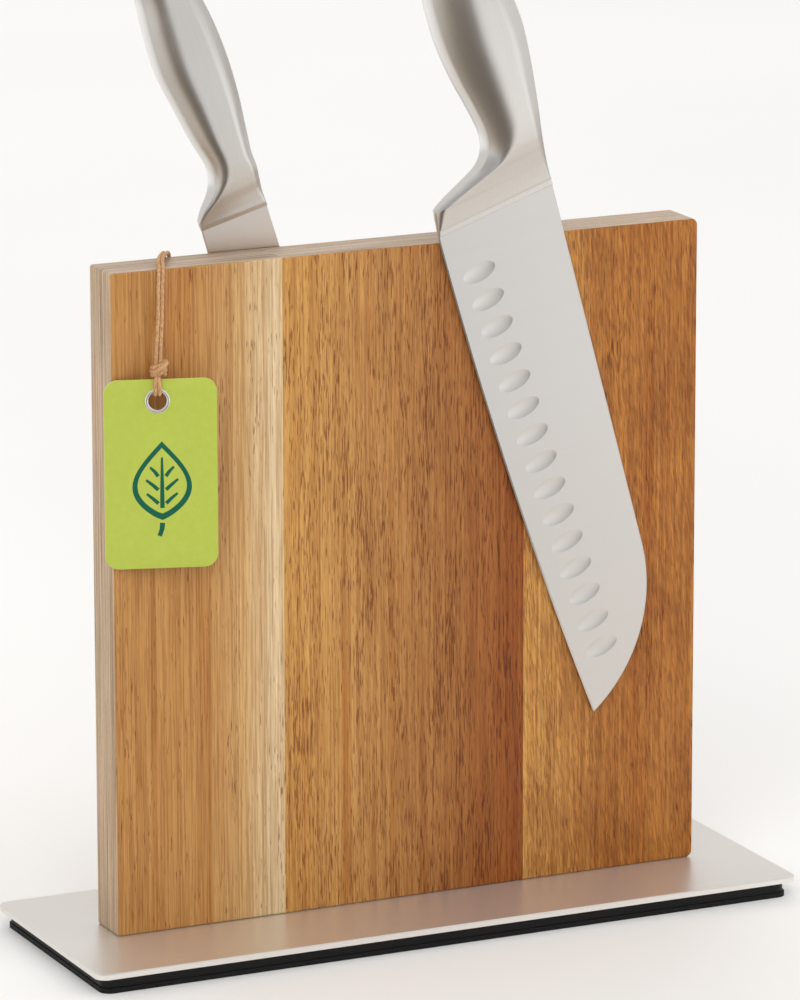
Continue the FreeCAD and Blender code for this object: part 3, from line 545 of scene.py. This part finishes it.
def dimple_ring(centre, spread):
    """An oval round a dimple's middle, at a share of its full size."""
    turn = math.radians(DIMPLE["turn"])
    ring = []
    for step in range(DIMPLE["sides"]):
        angle = 2 * math.pi * step / DIMPLE["sides"]
        along, beside = math.cos(angle) * DIMPLE["long"], math.sin(angle) * DIMPLE["short"]
        ring.append(centre + spread * Vector((along * math.cos(turn) - beside * math.sin(turn),
                                              along * math.sin(turn) + beside * math.cos(turn))))
    return ring


def ground_face(knife, sections, face, centres):
    """One face's flat, triangulated round its dimples, and the dimples' scooped bowls."""
    outline = [section[1][0] for section in sections] + [section[2][0] for section in reversed(sections)]
    loops = [outline] + [dimple_ring(centre, 1.0) for centre in centres]
    flat_points, loop_faces = [], []
    for loop in loops:
        loop_faces.append(list(range(len(flat_points), len(flat_points) + len(loop))))
        flat_points += loop
    made = delaunay_2d_cdt(flat_points, [], loop_faces, 1, 1e-6)
    points = [(place.x, face * half_thickness(knife, place.x), place.y) for place in made[0]]
    faces = [tuple(triangle) for triangle, inside in zip(made[2], made[5]) if max(inside) == 0]

    sink = DIMPLE["ball"] - DIMPLE["depth"]
    reach = math.sqrt(1 - (sink / DIMPLE["ball"]) ** 2)
    sides, bowl_rings = DIMPLE["sides"], 10
    for centre in centres:
        first = len(points)
        for ring in range(bowl_rings):
            spread = 1 - ring / bowl_rings
            depth = DIMPLE["ball"] * math.sqrt(1 - (reach * spread) ** 2) - sink
            for place in dimple_ring(centre, spread):
                points.append((place.x, face * (half_thickness(knife, place.x) - depth), place.y))
        points.append((centre.x, face * (half_thickness(knife, centre.x) - DIMPLE["depth"]), centre.y))
        for ring in range(bowl_rings - 1):
            faces += ring_quads(first + ring * sides, first + (ring + 1) * sides, sides)
        near, bottom = first + (bowl_rings - 1) * sides, first + bowl_rings * sides
        faces += [(near + step, near + (step + 1) % sides, bottom) for step in range(sides)]
    return points, faces


def blade_mesh(name, knife, dimpled):
    """Blade with a flat grind on both faces, a honed edge bevel and an eased spine."""
    sections = blade_sections(knife)
    rings = []
    for section in sections:
        ring = [(place.x, -half, place.y) for place, half in section]
        rings.append(ring + [(place.x, half, place.y) for place, half in reversed(section)])
    points, faces = skin(rings)
    count = len(rings[0])
    flats = ({1, 2}, {5, 6})
    strips = [face for face in faces
              if len(face) > 4 or {face[0] % count, face[1] % count} not in flats]
    for side in (-1, 1):
        more_points, more_faces = ground_face(knife, sections, side, dimple_centres(side) if dimpled else [])
        strips += [tuple(index + len(points) for index in face) for face in more_faces]
        points = points + more_points
    return mesh_from(name, points, strips, 3)


def handle_half_ring(row, side):
    """One half of a handle's section: belly flat, crease, rounded side, crease, spine flat."""
    (belly_up, belly_across, spine_up, spine_across, thick, taper,
     belly_flat, belly_roll, spine_flat, spine_roll) = row
    belly, spine = Vector((belly_across, belly_up)), Vector((spine_across, spine_up))
    width = (spine - belly).length
    across = (spine - belly).normalized()

    def side_height(offset):
        level = thick / 2 * between(taper, 1.0, min(1.0, offset / width))
        belly_drop = max(0.0, 1 - offset / belly_roll) ** BELLY_SLOPE * (level - belly_flat)
        spine_drop = max(0.0, 1 - (width - offset) / spine_roll) ** SPINE_SLOPE * (level - spine_flat)
        return level - max(0.0, belly_drop) - max(0.0, spine_drop)

    crown = min(0.5, belly_flat * 0.1)
    soften = min(CREASE_ROUND, belly_roll * 0.3, belly_flat * 0.3)
    profile = [(-crown * (1 - share ** 2), belly_flat * share) for share in (0.0, 0.25, 0.5, 0.75)]
    profile.append((0.0, belly_flat - soften))
    profile.append((soften * 0.3, belly_flat - soften * 0.1))
    profile.append((soften, side_height(soften)))
    inner = 26
    for step in range(1, inner):
        share = (1 - math.cos(math.pi * step / inner)) / 2
        offset = between(soften, width - soften, share)
        profile.append((offset, side_height(offset)))
    profile.append((width - soften, side_height(width - soften)))
    profile.append((width - soften * 0.3, spine_flat - soften * 0.1))
    profile.append((width, spine_flat - soften))
    profile += [(width + crown * 0.6 * (1 - share ** 2), spine_flat * share)
                for share in (0.75, 0.5, 0.25, 0.0)]
    ring = []
    for offset, height in profile:
        place = belly + across * offset
        ring.append((place.x, side * height, place.y))
    return ring


def handle_mesh(name, knife, side):
    """One pressed half of a handle, closed along the weld on the knife's middle plane."""
    rows = smooth_rows(knife["handle"], STEPS)
    points, faces = skin([handle_half_ring(row, side) for row in rows])
    mesh = mesh_from(name, points, faces)
    sharpen_weld(mesh)
    return mesh


def sharpen_weld(mesh):
    """The halves meet on the middle plane, where the polished outside stays smooth across."""
    edited = bmesh.new()
    edited.from_mesh(mesh)
    for edge in edited.edges:
        edge.smooth = not all(abs(vertex.co.y) < 1e-5 for vertex in edge.verts)
    edited.to_mesh(mesh)
    edited.free()


def make_knife(knife, prefix):
    turn = math.radians(knife["lean"])
    blade_steel = brushed(f"{prefix}_blade_steel", knife["steel"], 0.36, (True, False, False),
                          turn, depth=0.05, sweep=0.03, streak=0.02)
    handle_steel = brushed(f"{prefix}_handle_steel", (0.80, 0.78, 0.755), 0.31, (False, False, True),
                           turn, depth=0.2, sweep=0.06)
    blade = blade_mesh(f"{prefix}_blade_ground", knife, dimpled=knife is SANTOKU)
    place = knife_place(knife)
    finish_piece(f"{prefix}_blade_ground", blade, knife["body"], blade_steel,
                 (f"{prefix}_blade",), place)
    for side, sign in (("front", -1), ("back", 1)):
        half = handle_mesh(f"{prefix}_handle_{side}_shell", knife, sign)
        finish_piece(f"{prefix}_handle_{side}_shell", half, knife["body"], handle_steel,
                     (f"{prefix}_handle_{side}",), place)


# ---- Hang tag ----
TAG = {"middle": Vector((-94.7, -14.5, 169.2)), "turn": math.radians(-17), "width": 37.8,
       "height": 64.7, "thick": 0.6, "corner": 4.5}
EYELET = {"side": -1.0, "up": 25.1, "bore": 3.05, "barrel": 3.4, "rim": 4.3}
LEAF_GREEN = srgb(14, 98, 74)


def tag_place():
    """From the tag's own frame, in metres, to the row frame: X across it, Y through it, Z up."""
    return Matrix.Translation(TAG["middle"] * MM) @ Matrix.Rotation(TAG["turn"], 4, "Z")


def on_tag(side, out, up):
    """The row frame's point, in metres, at a place across, in front of and above the tag's middle."""
    return tag_place() @ (Vector((side, -out, up)) * MM)


def flat_shape(name, outlines, half_thick, bevel):
    """A plate from closed outlines of (across, up) points, holes included, with eased edges."""
    curve = bpy.data.curves.new(name, "CURVE")
    curve.dimensions = "2D"
    curve.fill_mode = "BOTH"
    curve.extrude = half_thick - bevel
    curve.bevel_depth = bevel
    curve.bevel_resolution = 2
    for outline in outlines:
        spline = curve.splines.new("POLY")
        spline.points.add(len(outline) - 1)
        for point, (across, up) in zip(spline.points, outline):
            point.co = (across, up, 0, 1)
        spline.use_cyclic_u = True
    mesh = mesh_of_curve(curve)
    mesh.transform(Matrix.Rotation(math.pi / 2, 4, "X"))
    clean(mesh, 1e-5)
    mesh.shade_smooth()
    mesh.set_sharp_from_angle(angle=math.radians(30))
    return mesh


def arc_points(centre, radius, start, finish, steps):
    """Points of an arc between two angles in degrees."""
    angles = [math.radians(between(start, finish, step / steps)) for step in range(steps + 1)]
    return [(centre[0] + radius * math.cos(angle), centre[1] + radius * math.sin(angle)) for angle in angles]


def card_outline():
    half_width, half_height, corner = TAG["width"] / 2, TAG["height"] / 2, TAG["corner"]
    right, top = half_width - corner, half_height - corner
    outline = []
    for quarter, (side, up) in enumerate(((1, 1), (-1, 1), (-1, -1), (1, -1))):
        outline += arc_points((side * right, up * top), corner, 90 * quarter, 90 * quarter + 90, 14)
    return outline


def ribbon(points, widths):
    """The outline of a stroke along some points, with its width at each of them."""
    left, right = [], []
    last = len(points) - 1
    for index, (point, width) in enumerate(zip(points, widths)):
        ahead, behind = Vector(points[min(index + 1, last)]), Vector(points[max(index - 1, 0)])
        aside = (ahead - behind).normalized().orthogonal() * (width / 2)
        left.append(tuple(Vector(point) + aside))
        right.append(tuple(Vector(point) - aside))
    return left + right[::-1]


def leaf_edge(tall, wide, low, steps=36):
    """A pointed leaf's outline: its height, its half width and the height of its lower tip."""
    shares = [step / steps for step in range(steps + 1)]
    side = [(wide * math.sin(math.pi * share ** 0.8), low + tall * share) for share in shares]
    return side + [(-across, up) for across, up in side[-2:0:-1]]


def leaf_outlines():
    """A plain leaf: a pointed ring, and inside it a midrib and three pairs of veins; a stem below."""
    outlines = [leaf_edge(27.0, 10.0, -11.3), leaf_edge(22.6, 8.3, -9.1)]
    outlines.append(ribbon([(0.0, -7.2), (0.0, 0.0), (0.0, 10.2)], [1.5, 1.3, 0.7]))
    for low, high, reach in ((-5.6, -2.2, 5.2), (-0.9, 2.6, 5.4), (3.7, 6.9, 4.0)):
        for sign in (-1, 1):
            bend = (sign * reach * 0.6, between(low, high, 0.5))
            outlines.append(ribbon([(sign * 1.3, low), bend, (sign * reach, high)], [1.3, 1.15, 0.8]))
    outlines.append(ribbon([(0.0, -12.3), (-0.2, -14.4), (-1.0, -16.8)], [1.7, 1.6, 1.5]))
    return outlines


def card_print():
    """Green print on the card's two faces, with paler board at its cut edges."""
    printed = Surface("tag_card_print", Roughness=0.42, Specular_IOR_Level=0.4)
    fibre = printed.noise(printed.scaled(380, 380, 380), 3, 0.6)
    green = printed.ramp(fibre, [(0.3, srgb(176, 190, 72)), (0.7, srgb(181, 195, 78))])
    normal = printed.add("ShaderNodeTexCoord").outputs["Normal"]
    turned = printed.add("ShaderNodeVectorMath", operation="DOT_PRODUCT")
    printed.plug(turned.inputs[0], normal)
    turned.inputs[1].default_value = on_tag(0, 1000, 0) - on_tag(0, 0, 0)
    flat = printed.span(printed.math("ABSOLUTE", turned.outputs["Value"]), 0.3, 0.8)
    printed.colour(printed.mix(flat, srgb(222, 226, 160), green))
    printed.bump(fibre, 0.00003, 0.4)
    return printed.material


def make_card():
    finish = card_print()
    ring = arc_points((EYELET["side"], EYELET["up"]), EYELET["barrel"] + 0.05, 0, 352.5, 47)
    card = flat_shape("tag_card_cut", [card_outline(), ring], TAG["thick"] / 2, 0.09)
    finish_piece("tag_card_cut", card, "hang_tag", finish, ("tag_card",), tag_place())


def make_leaf():
    ink = plain("leaf_ink", LEAF_GREEN, 0.45, 0.12, 0.00001)
    ink_half = 0.02
    leaf = flat_shape("tag_leaf_print", leaf_outlines(), ink_half, 0.005)
    out = TAG["thick"] / 2 + ink_half * 0.6
    print_place = tag_place() @ Matrix.Translation(Vector((0.3, -out, -4.5)) * MM)
    finish_piece("tag_leaf_print", leaf, "hang_tag", ink, (), print_place)


def make_eyelet():
    """The rolled eyelet; its washer at the back keeps its CAD shape."""
    silver = plain("eyelet_nickel", (0.95, 0.945, 0.93), 0.24, 0.04, 0.000004, metallic=0.85)
    bore, barrel, rim = EYELET["bore"], EYELET["barrel"], EYELET["rim"]
    face = TAG["thick"] / 2
    roll = (rim - bore) / 2
    front = [(bore + roll - roll * math.cos(angle), -face - 0.48 * math.sin(angle))
             for angle in [math.pi * step / 12 for step in range(13)]]
    back = [(barrel, -face), (barrel, face + 0.25), (barrel + 0.55, face + 0.27), (barrel + 0.6, face + 0.4),
            (barrel + 0.3, face + 0.55), (bore + 0.1, face + 0.5), (bore, face + 0.35)]
    eyelet_place = tag_place() @ Matrix.Translation(Vector((EYELET["side"], 0, EYELET["up"])) * MM)
    eyelet = lathe("tag_eyelet_rolled", front + back, 72)
    finish_piece("tag_eyelet_rolled", eyelet, "hang_tag", silver, ("tag_eyelet",), eyelet_place)
    dress("tag_washer", silver)


# ---- Cord, knot and seal ----
CORD_DIAMETER = 1.4 * MM
STRANDS = 3               # plies of the cord
TWIST = 4.6 * MM          # length of one turn of the plies


def metres(x, y, z):
    return Vector((x, y, z)) * MM


# One cord from the seal up behind the board, over its top and down to the knot, through the
# eyelet, back to the knot, through the eyelet again, and back the same way beside itself.
CORD_ROUTE = [
    metres(-82.1, 9.75, 213.0),
    metres(-82.1, 9.80, 222.0),
    metres(-82.2, 9.80, 230.0),
    metres(-82.3, 10.0, 237.4),
    metres(-82.9, 9.0, 239.3),
    metres(-85.6, 4.2, 239.9),
    metres(-89.3, -2.0, 240.1),
    metres(-92.0, -7.6, 239.8),
    metres(-92.8, -10.0, 238.2),
    metres(-93.1, -9.95, 231.0),
    metres(-93.8, -11.4, 222.0),
    metres(-95.1, -12.8, 213.0),
    metres(-95.9, -13.9, 206.5),
    on_tag(-1.4, 0.7, 34.0),
    on_tag(-1.7, 1.65, 31.0),
    on_tag(-1.75, 1.7, 27.3),
    on_tag(-1.75, -1.6, 27.3),
    on_tag(-1.7, -1.6, 31.5),
    on_tag(-1.2, -0.9, 35.6),
    on_tag(-0.4, -0.9, 35.6),
    on_tag(-0.3, -1.6, 31.5),
    on_tag(-0.3, -1.6, 27.3),
    on_tag(-0.3, 1.7, 27.3),
    on_tag(-0.35, 1.65, 31.0),
    on_tag(-0.6, 0.7, 34.0),
    metres(-94.3, -13.9, 206.5),
    metres(-93.7, -12.9, 213.0),
    metres(-92.4, -11.3, 222.0),
    metres(-91.7, -9.95, 231.0),
    metres(-91.3, -10.0, 238.2),
    metres(-90.6, -7.6, 239.9),
    metres(-87.9, -2.0, 240.1),
    metres(-84.2, 4.2, 239.9),
    metres(-81.2, 9.0, 239.3),
    metres(-80.5, 10.0, 237.4),
    metres(-80.3, 9.80, 230.0),
    metres(-80.1, 9.80, 222.0),
    metres(-80.0, 9.75, 212.0),
]


def spline_points(route, resolution):
    """Points read from the route's own smooth spline."""
    curve = bpy.data.curves.new("route", "CURVE")
    curve.dimensions = "3D"
    curve.resolution_u = resolution
    spline = curve.splines.new("NURBS")
    spline.points.add(len(route) - 1)
    for point, place in zip(spline.points, route):
        point.co = (*place, 1)
    spline.order_u = 3
    spline.use_endpoint_u = True
    line = mesh_of_curve(curve)
    path = [vertex.co.copy() for vertex in line.vertices]
    bpy.data.meshes.remove(line)
    return path


def twisted_tube(path, diameter, sides=24):
    """A laid cord along a path: a round tube fluted by its plies, which turn as they go."""
    rings = []
    travelled = 0.0
    normal = (path[1] - path[0]).normalized().orthogonal().normalized()
    for index, place in enumerate(path):
        ahead, behind = path[min(index + 1, len(path) - 1)], path[max(index - 1, 0)]
        forward = (ahead - behind).normalized()
        normal = (normal - forward * normal.dot(forward)).normalized()
        beside = forward.cross(normal)
        if index:
            travelled += (place - path[index - 1]).length
        ring = []
        for step in range(sides):
            angle = 2 * math.pi * step / sides
            ply = math.cos(STRANDS * (angle - 2 * math.pi * travelled / (TWIST * STRANDS)))
            fuzz = noise.noise(place * 2600 + Vector((math.cos(angle), math.sin(angle), 0)))
            radius = diameter / 2 * (0.955 + 0.045 * ply + 0.03 * fuzz)
            ring.append(place + (normal * math.cos(angle) + beside * math.sin(angle)) * radius)
        rings.append(ring)
    points, faces = skin(rings)
    return [tuple(point / MM) for point in points], faces


def cord_finish():
    """Waxed brown cord, mottled at random from dark brown up to a pale tan that is partly painted highlight,
    with a few loose fibres' worth of grain.
    """
    cord = Surface("waxed_cord", Roughness=0.58, Specular_IOR_Level=0.35)
    fibre = cord.noise(cord.scaled(2400, 2400, 900), 3, 0.65)
    patch = cord.noise(cord.scaled(160, 160, 160), 2)
    # The palest stop is partly painted highlight.
    tone_with_highlight = cord.ramp(fibre, [(0.3, srgb(150, 106, 66)), (0.5, srgb(196, 150, 104)),
                             (0.72, srgb(224, 188, 142))])
    cord.colour(cord.mix(cord.span(patch, 0.4, 0.7, 0.0, 0.45), tone_with_highlight, srgb(176, 128, 84)))
    cord.bump(fibre, 0.00008, 0.6)
    return cord.material


def make_cord():
    finish = cord_finish()
    path = spline_points(CORD_ROUTE, 10)
    points, faces = twisted_tube(path, CORD_DIAMETER)
    mesh = mesh_from("tag_cord", points, faces)
    tubes = [f"cord_{side}_{part}" for side in ("left", "right") for part in ("rear", "front", "loop")]
    cord = finish_piece("tag_cord", mesh, None, finish, tuple(tubes))
    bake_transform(cord)
    knot = make_knot(finish)


KNOT = {"middle": metres(-95.1, -14.25, 205.0), "turns": 3.2, "start": -0.7, "wide": 2.45, "deep": 1.75,
        "low": -2.1, "high": 1.9, "slant": 0.2, "narrowing": 0.12, "cord": 1.16}


def make_knot(finish):
    """The overhand knot: slanted turns of the same cord round both strands, and one across them."""
    middle, turns, per_turn = KNOT["middle"], KNOT["turns"], 12
    wraps = []
    for step in range(int(turns * per_turn) + 1):
        share = step / (turns * per_turn)
        angle = 2 * math.pi * step / per_turn + KNOT["start"]
        swell = 1.0 - KNOT["narrowing"] * abs(2 * share - 1)
        across = KNOT["wide"] * swell * math.cos(angle)
        through = KNOT["deep"] * swell * math.sin(angle)
        up = between(KNOT["low"], KNOT["high"], share) + KNOT["slant"] * across
        wraps.append(middle + metres(across, through, up))
    crossing = [metres(-2.3, -0.6, -1.6), metres(-2.5, -2.3, -0.5), metres(-0.4, -2.75, 0.8),
                metres(1.7, -2.3, 1.9), metres(2.6, -0.8, 2.7), metres(1.5, 0.9, 2.3)]
    points, faces = [], []
    for route in (wraps, [middle + place for place in crossing]):
        tube = spline_points(route, 8)
        more_points, more_faces = twisted_tube(tube, CORD_DIAMETER * KNOT["cord"])
        faces += [tuple(index + len(points) for index in face) for face in more_faces]
        points += more_points
    return finish_piece("tag_knot_turns", mesh_from("tag_knot_turns", points, faces), "hanging_cord",
                        finish, ("tag_knot",))


HUMP_HALF, HUMP_HEIGHT = 2.5, 1.5    # the paper's hump over each strand of the cord
END_EASE = 2.2                       # how far it takes to come down past the strand's end


def make_seal():
    """A round of kraft paper stuck over the cord's two ends, creased where it goes over them."""
    centre, radius, paper = Vector((-81.3, 218.0)), 9.8, 0.16
    board_back = BOARD_HIGH.y / MM
    rings, steps = 40, 120
    outer, inner = [], []

    def rise(x, z, share):
        lift = 0.0
        for cord_x, low_end in ((-82.1, 213.0), (-80.05, 212.0)):
            beside = abs(x - cord_x)
            hump = max(0.0, 1 - (beside / HUMP_HALF) ** 2) ** 1.2
            past_end = min(1.0, max(0.0, (z - low_end + END_EASE) / END_EASE))
            lift = max(lift, hump * past_end)
        broad = noise.noise(Vector((x * 0.8, z * 0.5, 0))) * 0.12
        wrinkle = broad + noise.noise(Vector((x * 2.2, z * 1.6, 4))) * 0.05
        at_rim = 1.0 if z > centre.y + 4 and abs(x - centre.x) < 4 else 1 - share ** 6
        return HUMP_HEIGHT * lift * at_rim + 0.05 + max(0.0, wrinkle + 0.08) * (1 - share ** 4)

    for ring in range(rings + 1):
        share = ring / rings
        for step in range(steps):
            angle = 2 * math.pi * step / steps
            wobble = 1 + 0.006 * math.sin(5 * angle + 1)
            x = centre.x + radius * share * wobble * math.cos(angle)
            z = centre.y + radius * share * wobble * math.sin(angle)
            height = rise(x, z, share)
            outer.append((x, board_back + height + paper, z))
            inner.append((x, board_back + max(0.02, height), z))
    points = outer + inner
    faces = []
    for layer in (0, len(outer)):
        for ring in range(rings):
            faces += ring_quads(layer + ring * steps, layer + (ring + 1) * steps, steps)
    rim = rings * steps
    faces += ring_quads(rim, len(outer) + rim, steps)
    kraft = Surface("kraft_paper", Roughness=0.72)
    pulp = kraft.noise(kraft.scaled(700, 700, 700), 4, 0.7)
    kraft.colour(kraft.ramp(pulp, [(0.3, srgb(168, 132, 92)), (0.7, srgb(194, 160, 118))]))
    kraft.bump(pulp, 0.00006, 0.5)
    seal = mesh_from("cord_seal_paper", points, faces, 50)
    finish_piece("cord_seal_paper", seal, "block", kraft.material, ("cord_seal",))


# ---- Studio ----
def soft_light(name, place, size, watts, colour=(1, 1, 1), aim=(0, 0, 0.15)):
    light = bpy.data.lights.new(name, "AREA")
    light.shape = "RECTANGLE"
    light.size, light.size_y = size
    light.energy = watts
    light.color = colour
    lamp = bpy.data.objects.new(name, light)
    lamp.location = place
    lamp.rotation_euler = (Vector(aim) - Vector(place)).to_track_quat("-Z", "Y").to_euler()
    lamp.visible_glossy = False
    bpy.context.scene.collection.objects.link(lamp)


DARK_WAY = (-0.42, -0.62, 0.66)      # where steel sees the room darker
DARK_SPAN = (0.35, 0.9)              # how far from that way the darkness starts and is full
ROOM_LIGHT, DARK_LIGHT = 0.76, 0.45


def studio_world():
    """An even white room, which steel sees with a darker patch above and in front."""
    world = bpy.data.worlds.new("studio")
    world.use_nodes = True
    tree = world.node_tree
    background = tree.nodes["Background"]
    background.inputs["Color"].default_value = (1.0, 0.985, 0.965, 1)
    background.inputs["Strength"].default_value = ROOM_LIGHT
    seen = tree.nodes.new("ShaderNodeBackground")
    way = tree.nodes.new("ShaderNodeTexCoord")
    toward = tree.nodes.new("ShaderNodeVectorMath")
    toward.operation = "DOT_PRODUCT"
    toward.inputs[1].default_value = Vector(DARK_WAY).normalized()
    tree.links.new(way.outputs["Generated"], toward.inputs[0])
    shade = tree.nodes.new("ShaderNodeMapRange")
    shade.interpolation_type = "SMOOTHSTEP"
    for socket, number in zip(list(shade.inputs)[1:5], (*DARK_SPAN, ROOM_LIGHT, DARK_LIGHT)):
        socket.default_value = number
    tree.links.new(toward.outputs["Value"], shade.inputs[0])
    tree.links.new(shade.outputs[0], seen.inputs["Strength"])
    seen.inputs["Color"].default_value = (1.0, 0.985, 0.97, 1)
    rays = tree.nodes.new("ShaderNodeLightPath")
    choice = tree.nodes.new("ShaderNodeMixShader")
    tree.links.new(rays.outputs["Is Glossy Ray"], choice.inputs[0])
    tree.links.new(background.outputs[0], choice.inputs[1])
    tree.links.new(seen.outputs[0], choice.inputs[2])
    tree.links.new(choice.outputs[0], tree.nodes["World Output"].inputs["Surface"])
    return world


# What polished steel sees round it on the floor: (bearing from straight ahead in degrees, colour).
SHEEN_BANDS = [(-100, (0.66, 0.66, 0.65)), (-60, (0.68, 0.66, 0.63)), (-50, (0.54, 0.49, 0.43)),
               (-40, (0.21, 0.175, 0.145)), (-14, (0.16, 0.135, 0.11)), (4, (0.10, 0.088, 0.076)),
               (11, (0.14, 0.13, 0.12)), (21, (0.82, 0.81, 0.80)), (34, (1.0, 0.99, 0.98)),
               (58, (0.90, 0.89, 0.88)), (80, (0.56, 0.54, 0.51)), (100, (0.50, 0.48, 0.45))]
SHEEN_STRENGTH = 1.16
SHEEN_NEAR = (0.74, 0.70, 0.65)    # how much of it is left close to the object
BACK_CARD_TURN = math.radians(155)


def sheen_card(name, turn, height):
    """A card round the object's front or back that only polished surfaces see, as studio flags are used."""
    inner, outer, steps = 0.15, 2.4, 40
    points = []
    for step in range(steps + 1):
        bearing = math.radians(between(SHEEN_BANDS[0][0], SHEEN_BANDS[-1][0], step / steps))
        points += [(radius * math.sin(bearing), -radius * math.cos(bearing), height)
                   for radius in (inner, outer)]
    faces = [(2 * step, 2 * step + 1, 2 * step + 3, 2 * step + 2) for step in range(steps)]
    mesh = bpy.data.meshes.new(name)
    mesh.from_pydata(points, [], faces)
    card = bpy.data.objects.new(name, mesh)
    card.rotation_euler = (0, 0, turn)
    bpy.context.scene.collection.objects.link(card)
    glow = Surface(name)
    place = glow.split(glow.here)
    bearing = glow.math("ARCTAN2", place[0], glow.math("MULTIPLY", place[1], -1.0))
    share = glow.math("MULTIPLY_ADD", bearing, 1 / (2 * math.pi), 0.5)
    bands = glow.ramp(share, [(0.5 + degrees / 360, colour) for degrees, colour in SHEEN_BANDS])
    away = glow.add("ShaderNodeVectorMath", operation="LENGTH")
    glow.plug(away.inputs[0], glow.here)
    near = glow.mix(glow.span(away.outputs["Value"], 0.3, 0.9), SHEEN_NEAR, (1.0, 1.0, 1.0))
    glow.plug(glow.shader.inputs["Emission Color"], glow.mix(1.0, bands, near, "MULTIPLY"))
    glow.shader.inputs["Emission Strength"].default_value = SHEEN_STRENGTH
    glow.colour((0.0, 0.0, 0.0))
    glow.shader.inputs["Specular IOR Level"].default_value = 0.0
    mesh.materials.append(glow.material)
    card.visible_camera = False
    card.visible_diffuse = False
    card.visible_shadow = False
    card.visible_transmission = False


CAMERA_PLACE = (-0.9285, -1.9739, 0.6776)
CAMERA_ANGLES = (90 - 13.67, 0.1, -25.224)    # looking down by 13.67 degrees, turned to the right
CAMERA_LENS = 235.7


def make_studio():
    scene = bpy.context.scene
    scene.view_settings.view_transform = "Standard"
    scene.world = studio_world()
    sheen_card("front_sheen_card", 0.0, 0.012)
    sheen_card("back_sheen_card", BACK_CARD_TURN, 0.010)

    floor_mesh = bpy.data.meshes.new("floor")
    reach = 9.0
    corners = [(-reach, -reach, 0), (reach, -reach, 0), (reach, reach, 0), (-reach, reach, 0)]
    floor_mesh.from_pydata(corners, [], [(0, 1, 2, 3)])
    floor = bpy.data.objects.new("floor", floor_mesh)
    scene.collection.objects.link(floor)
    pale = Surface("pale_floor", Roughness=0.7)
    cloud = pale.noise(pale.scaled(3, 3, 3), 2)
    pale.colour(pale.ramp(cloud, [(0.2, (0.9, 0.9, 0.895)), (0.8, (0.93, 0.93, 0.925))]))
    floor_mesh.materials.append(pale.material)

    soft_light("key", (-1.5, -2.4, 2.2), (2.4, 2.4), 36)
    soft_light("fill", (2.4, -1.4, 1.8), (2.0, 2.4), 22)
    soft_light("back", (0.3, 2.6, 2.2), (3.0, 1.6), 24)

    camera_data = bpy.data.cameras.new("camera")
    camera_data.lens = CAMERA_LENS
    camera = bpy.data.objects.new("camera", camera_data)
    camera.location = CAMERA_PLACE
    camera.rotation_euler = [math.radians(angle) for angle in CAMERA_ANGLES]
    scene.collection.objects.link(camera)
    scene.camera = camera


make_studio()
dress_board()
dress_base()
make_knife(SANTOKU, "santoku")
make_knife(UTILITY, "utility")
make_card()
make_leaf()
make_eyelet()
make_cord()
make_seal()
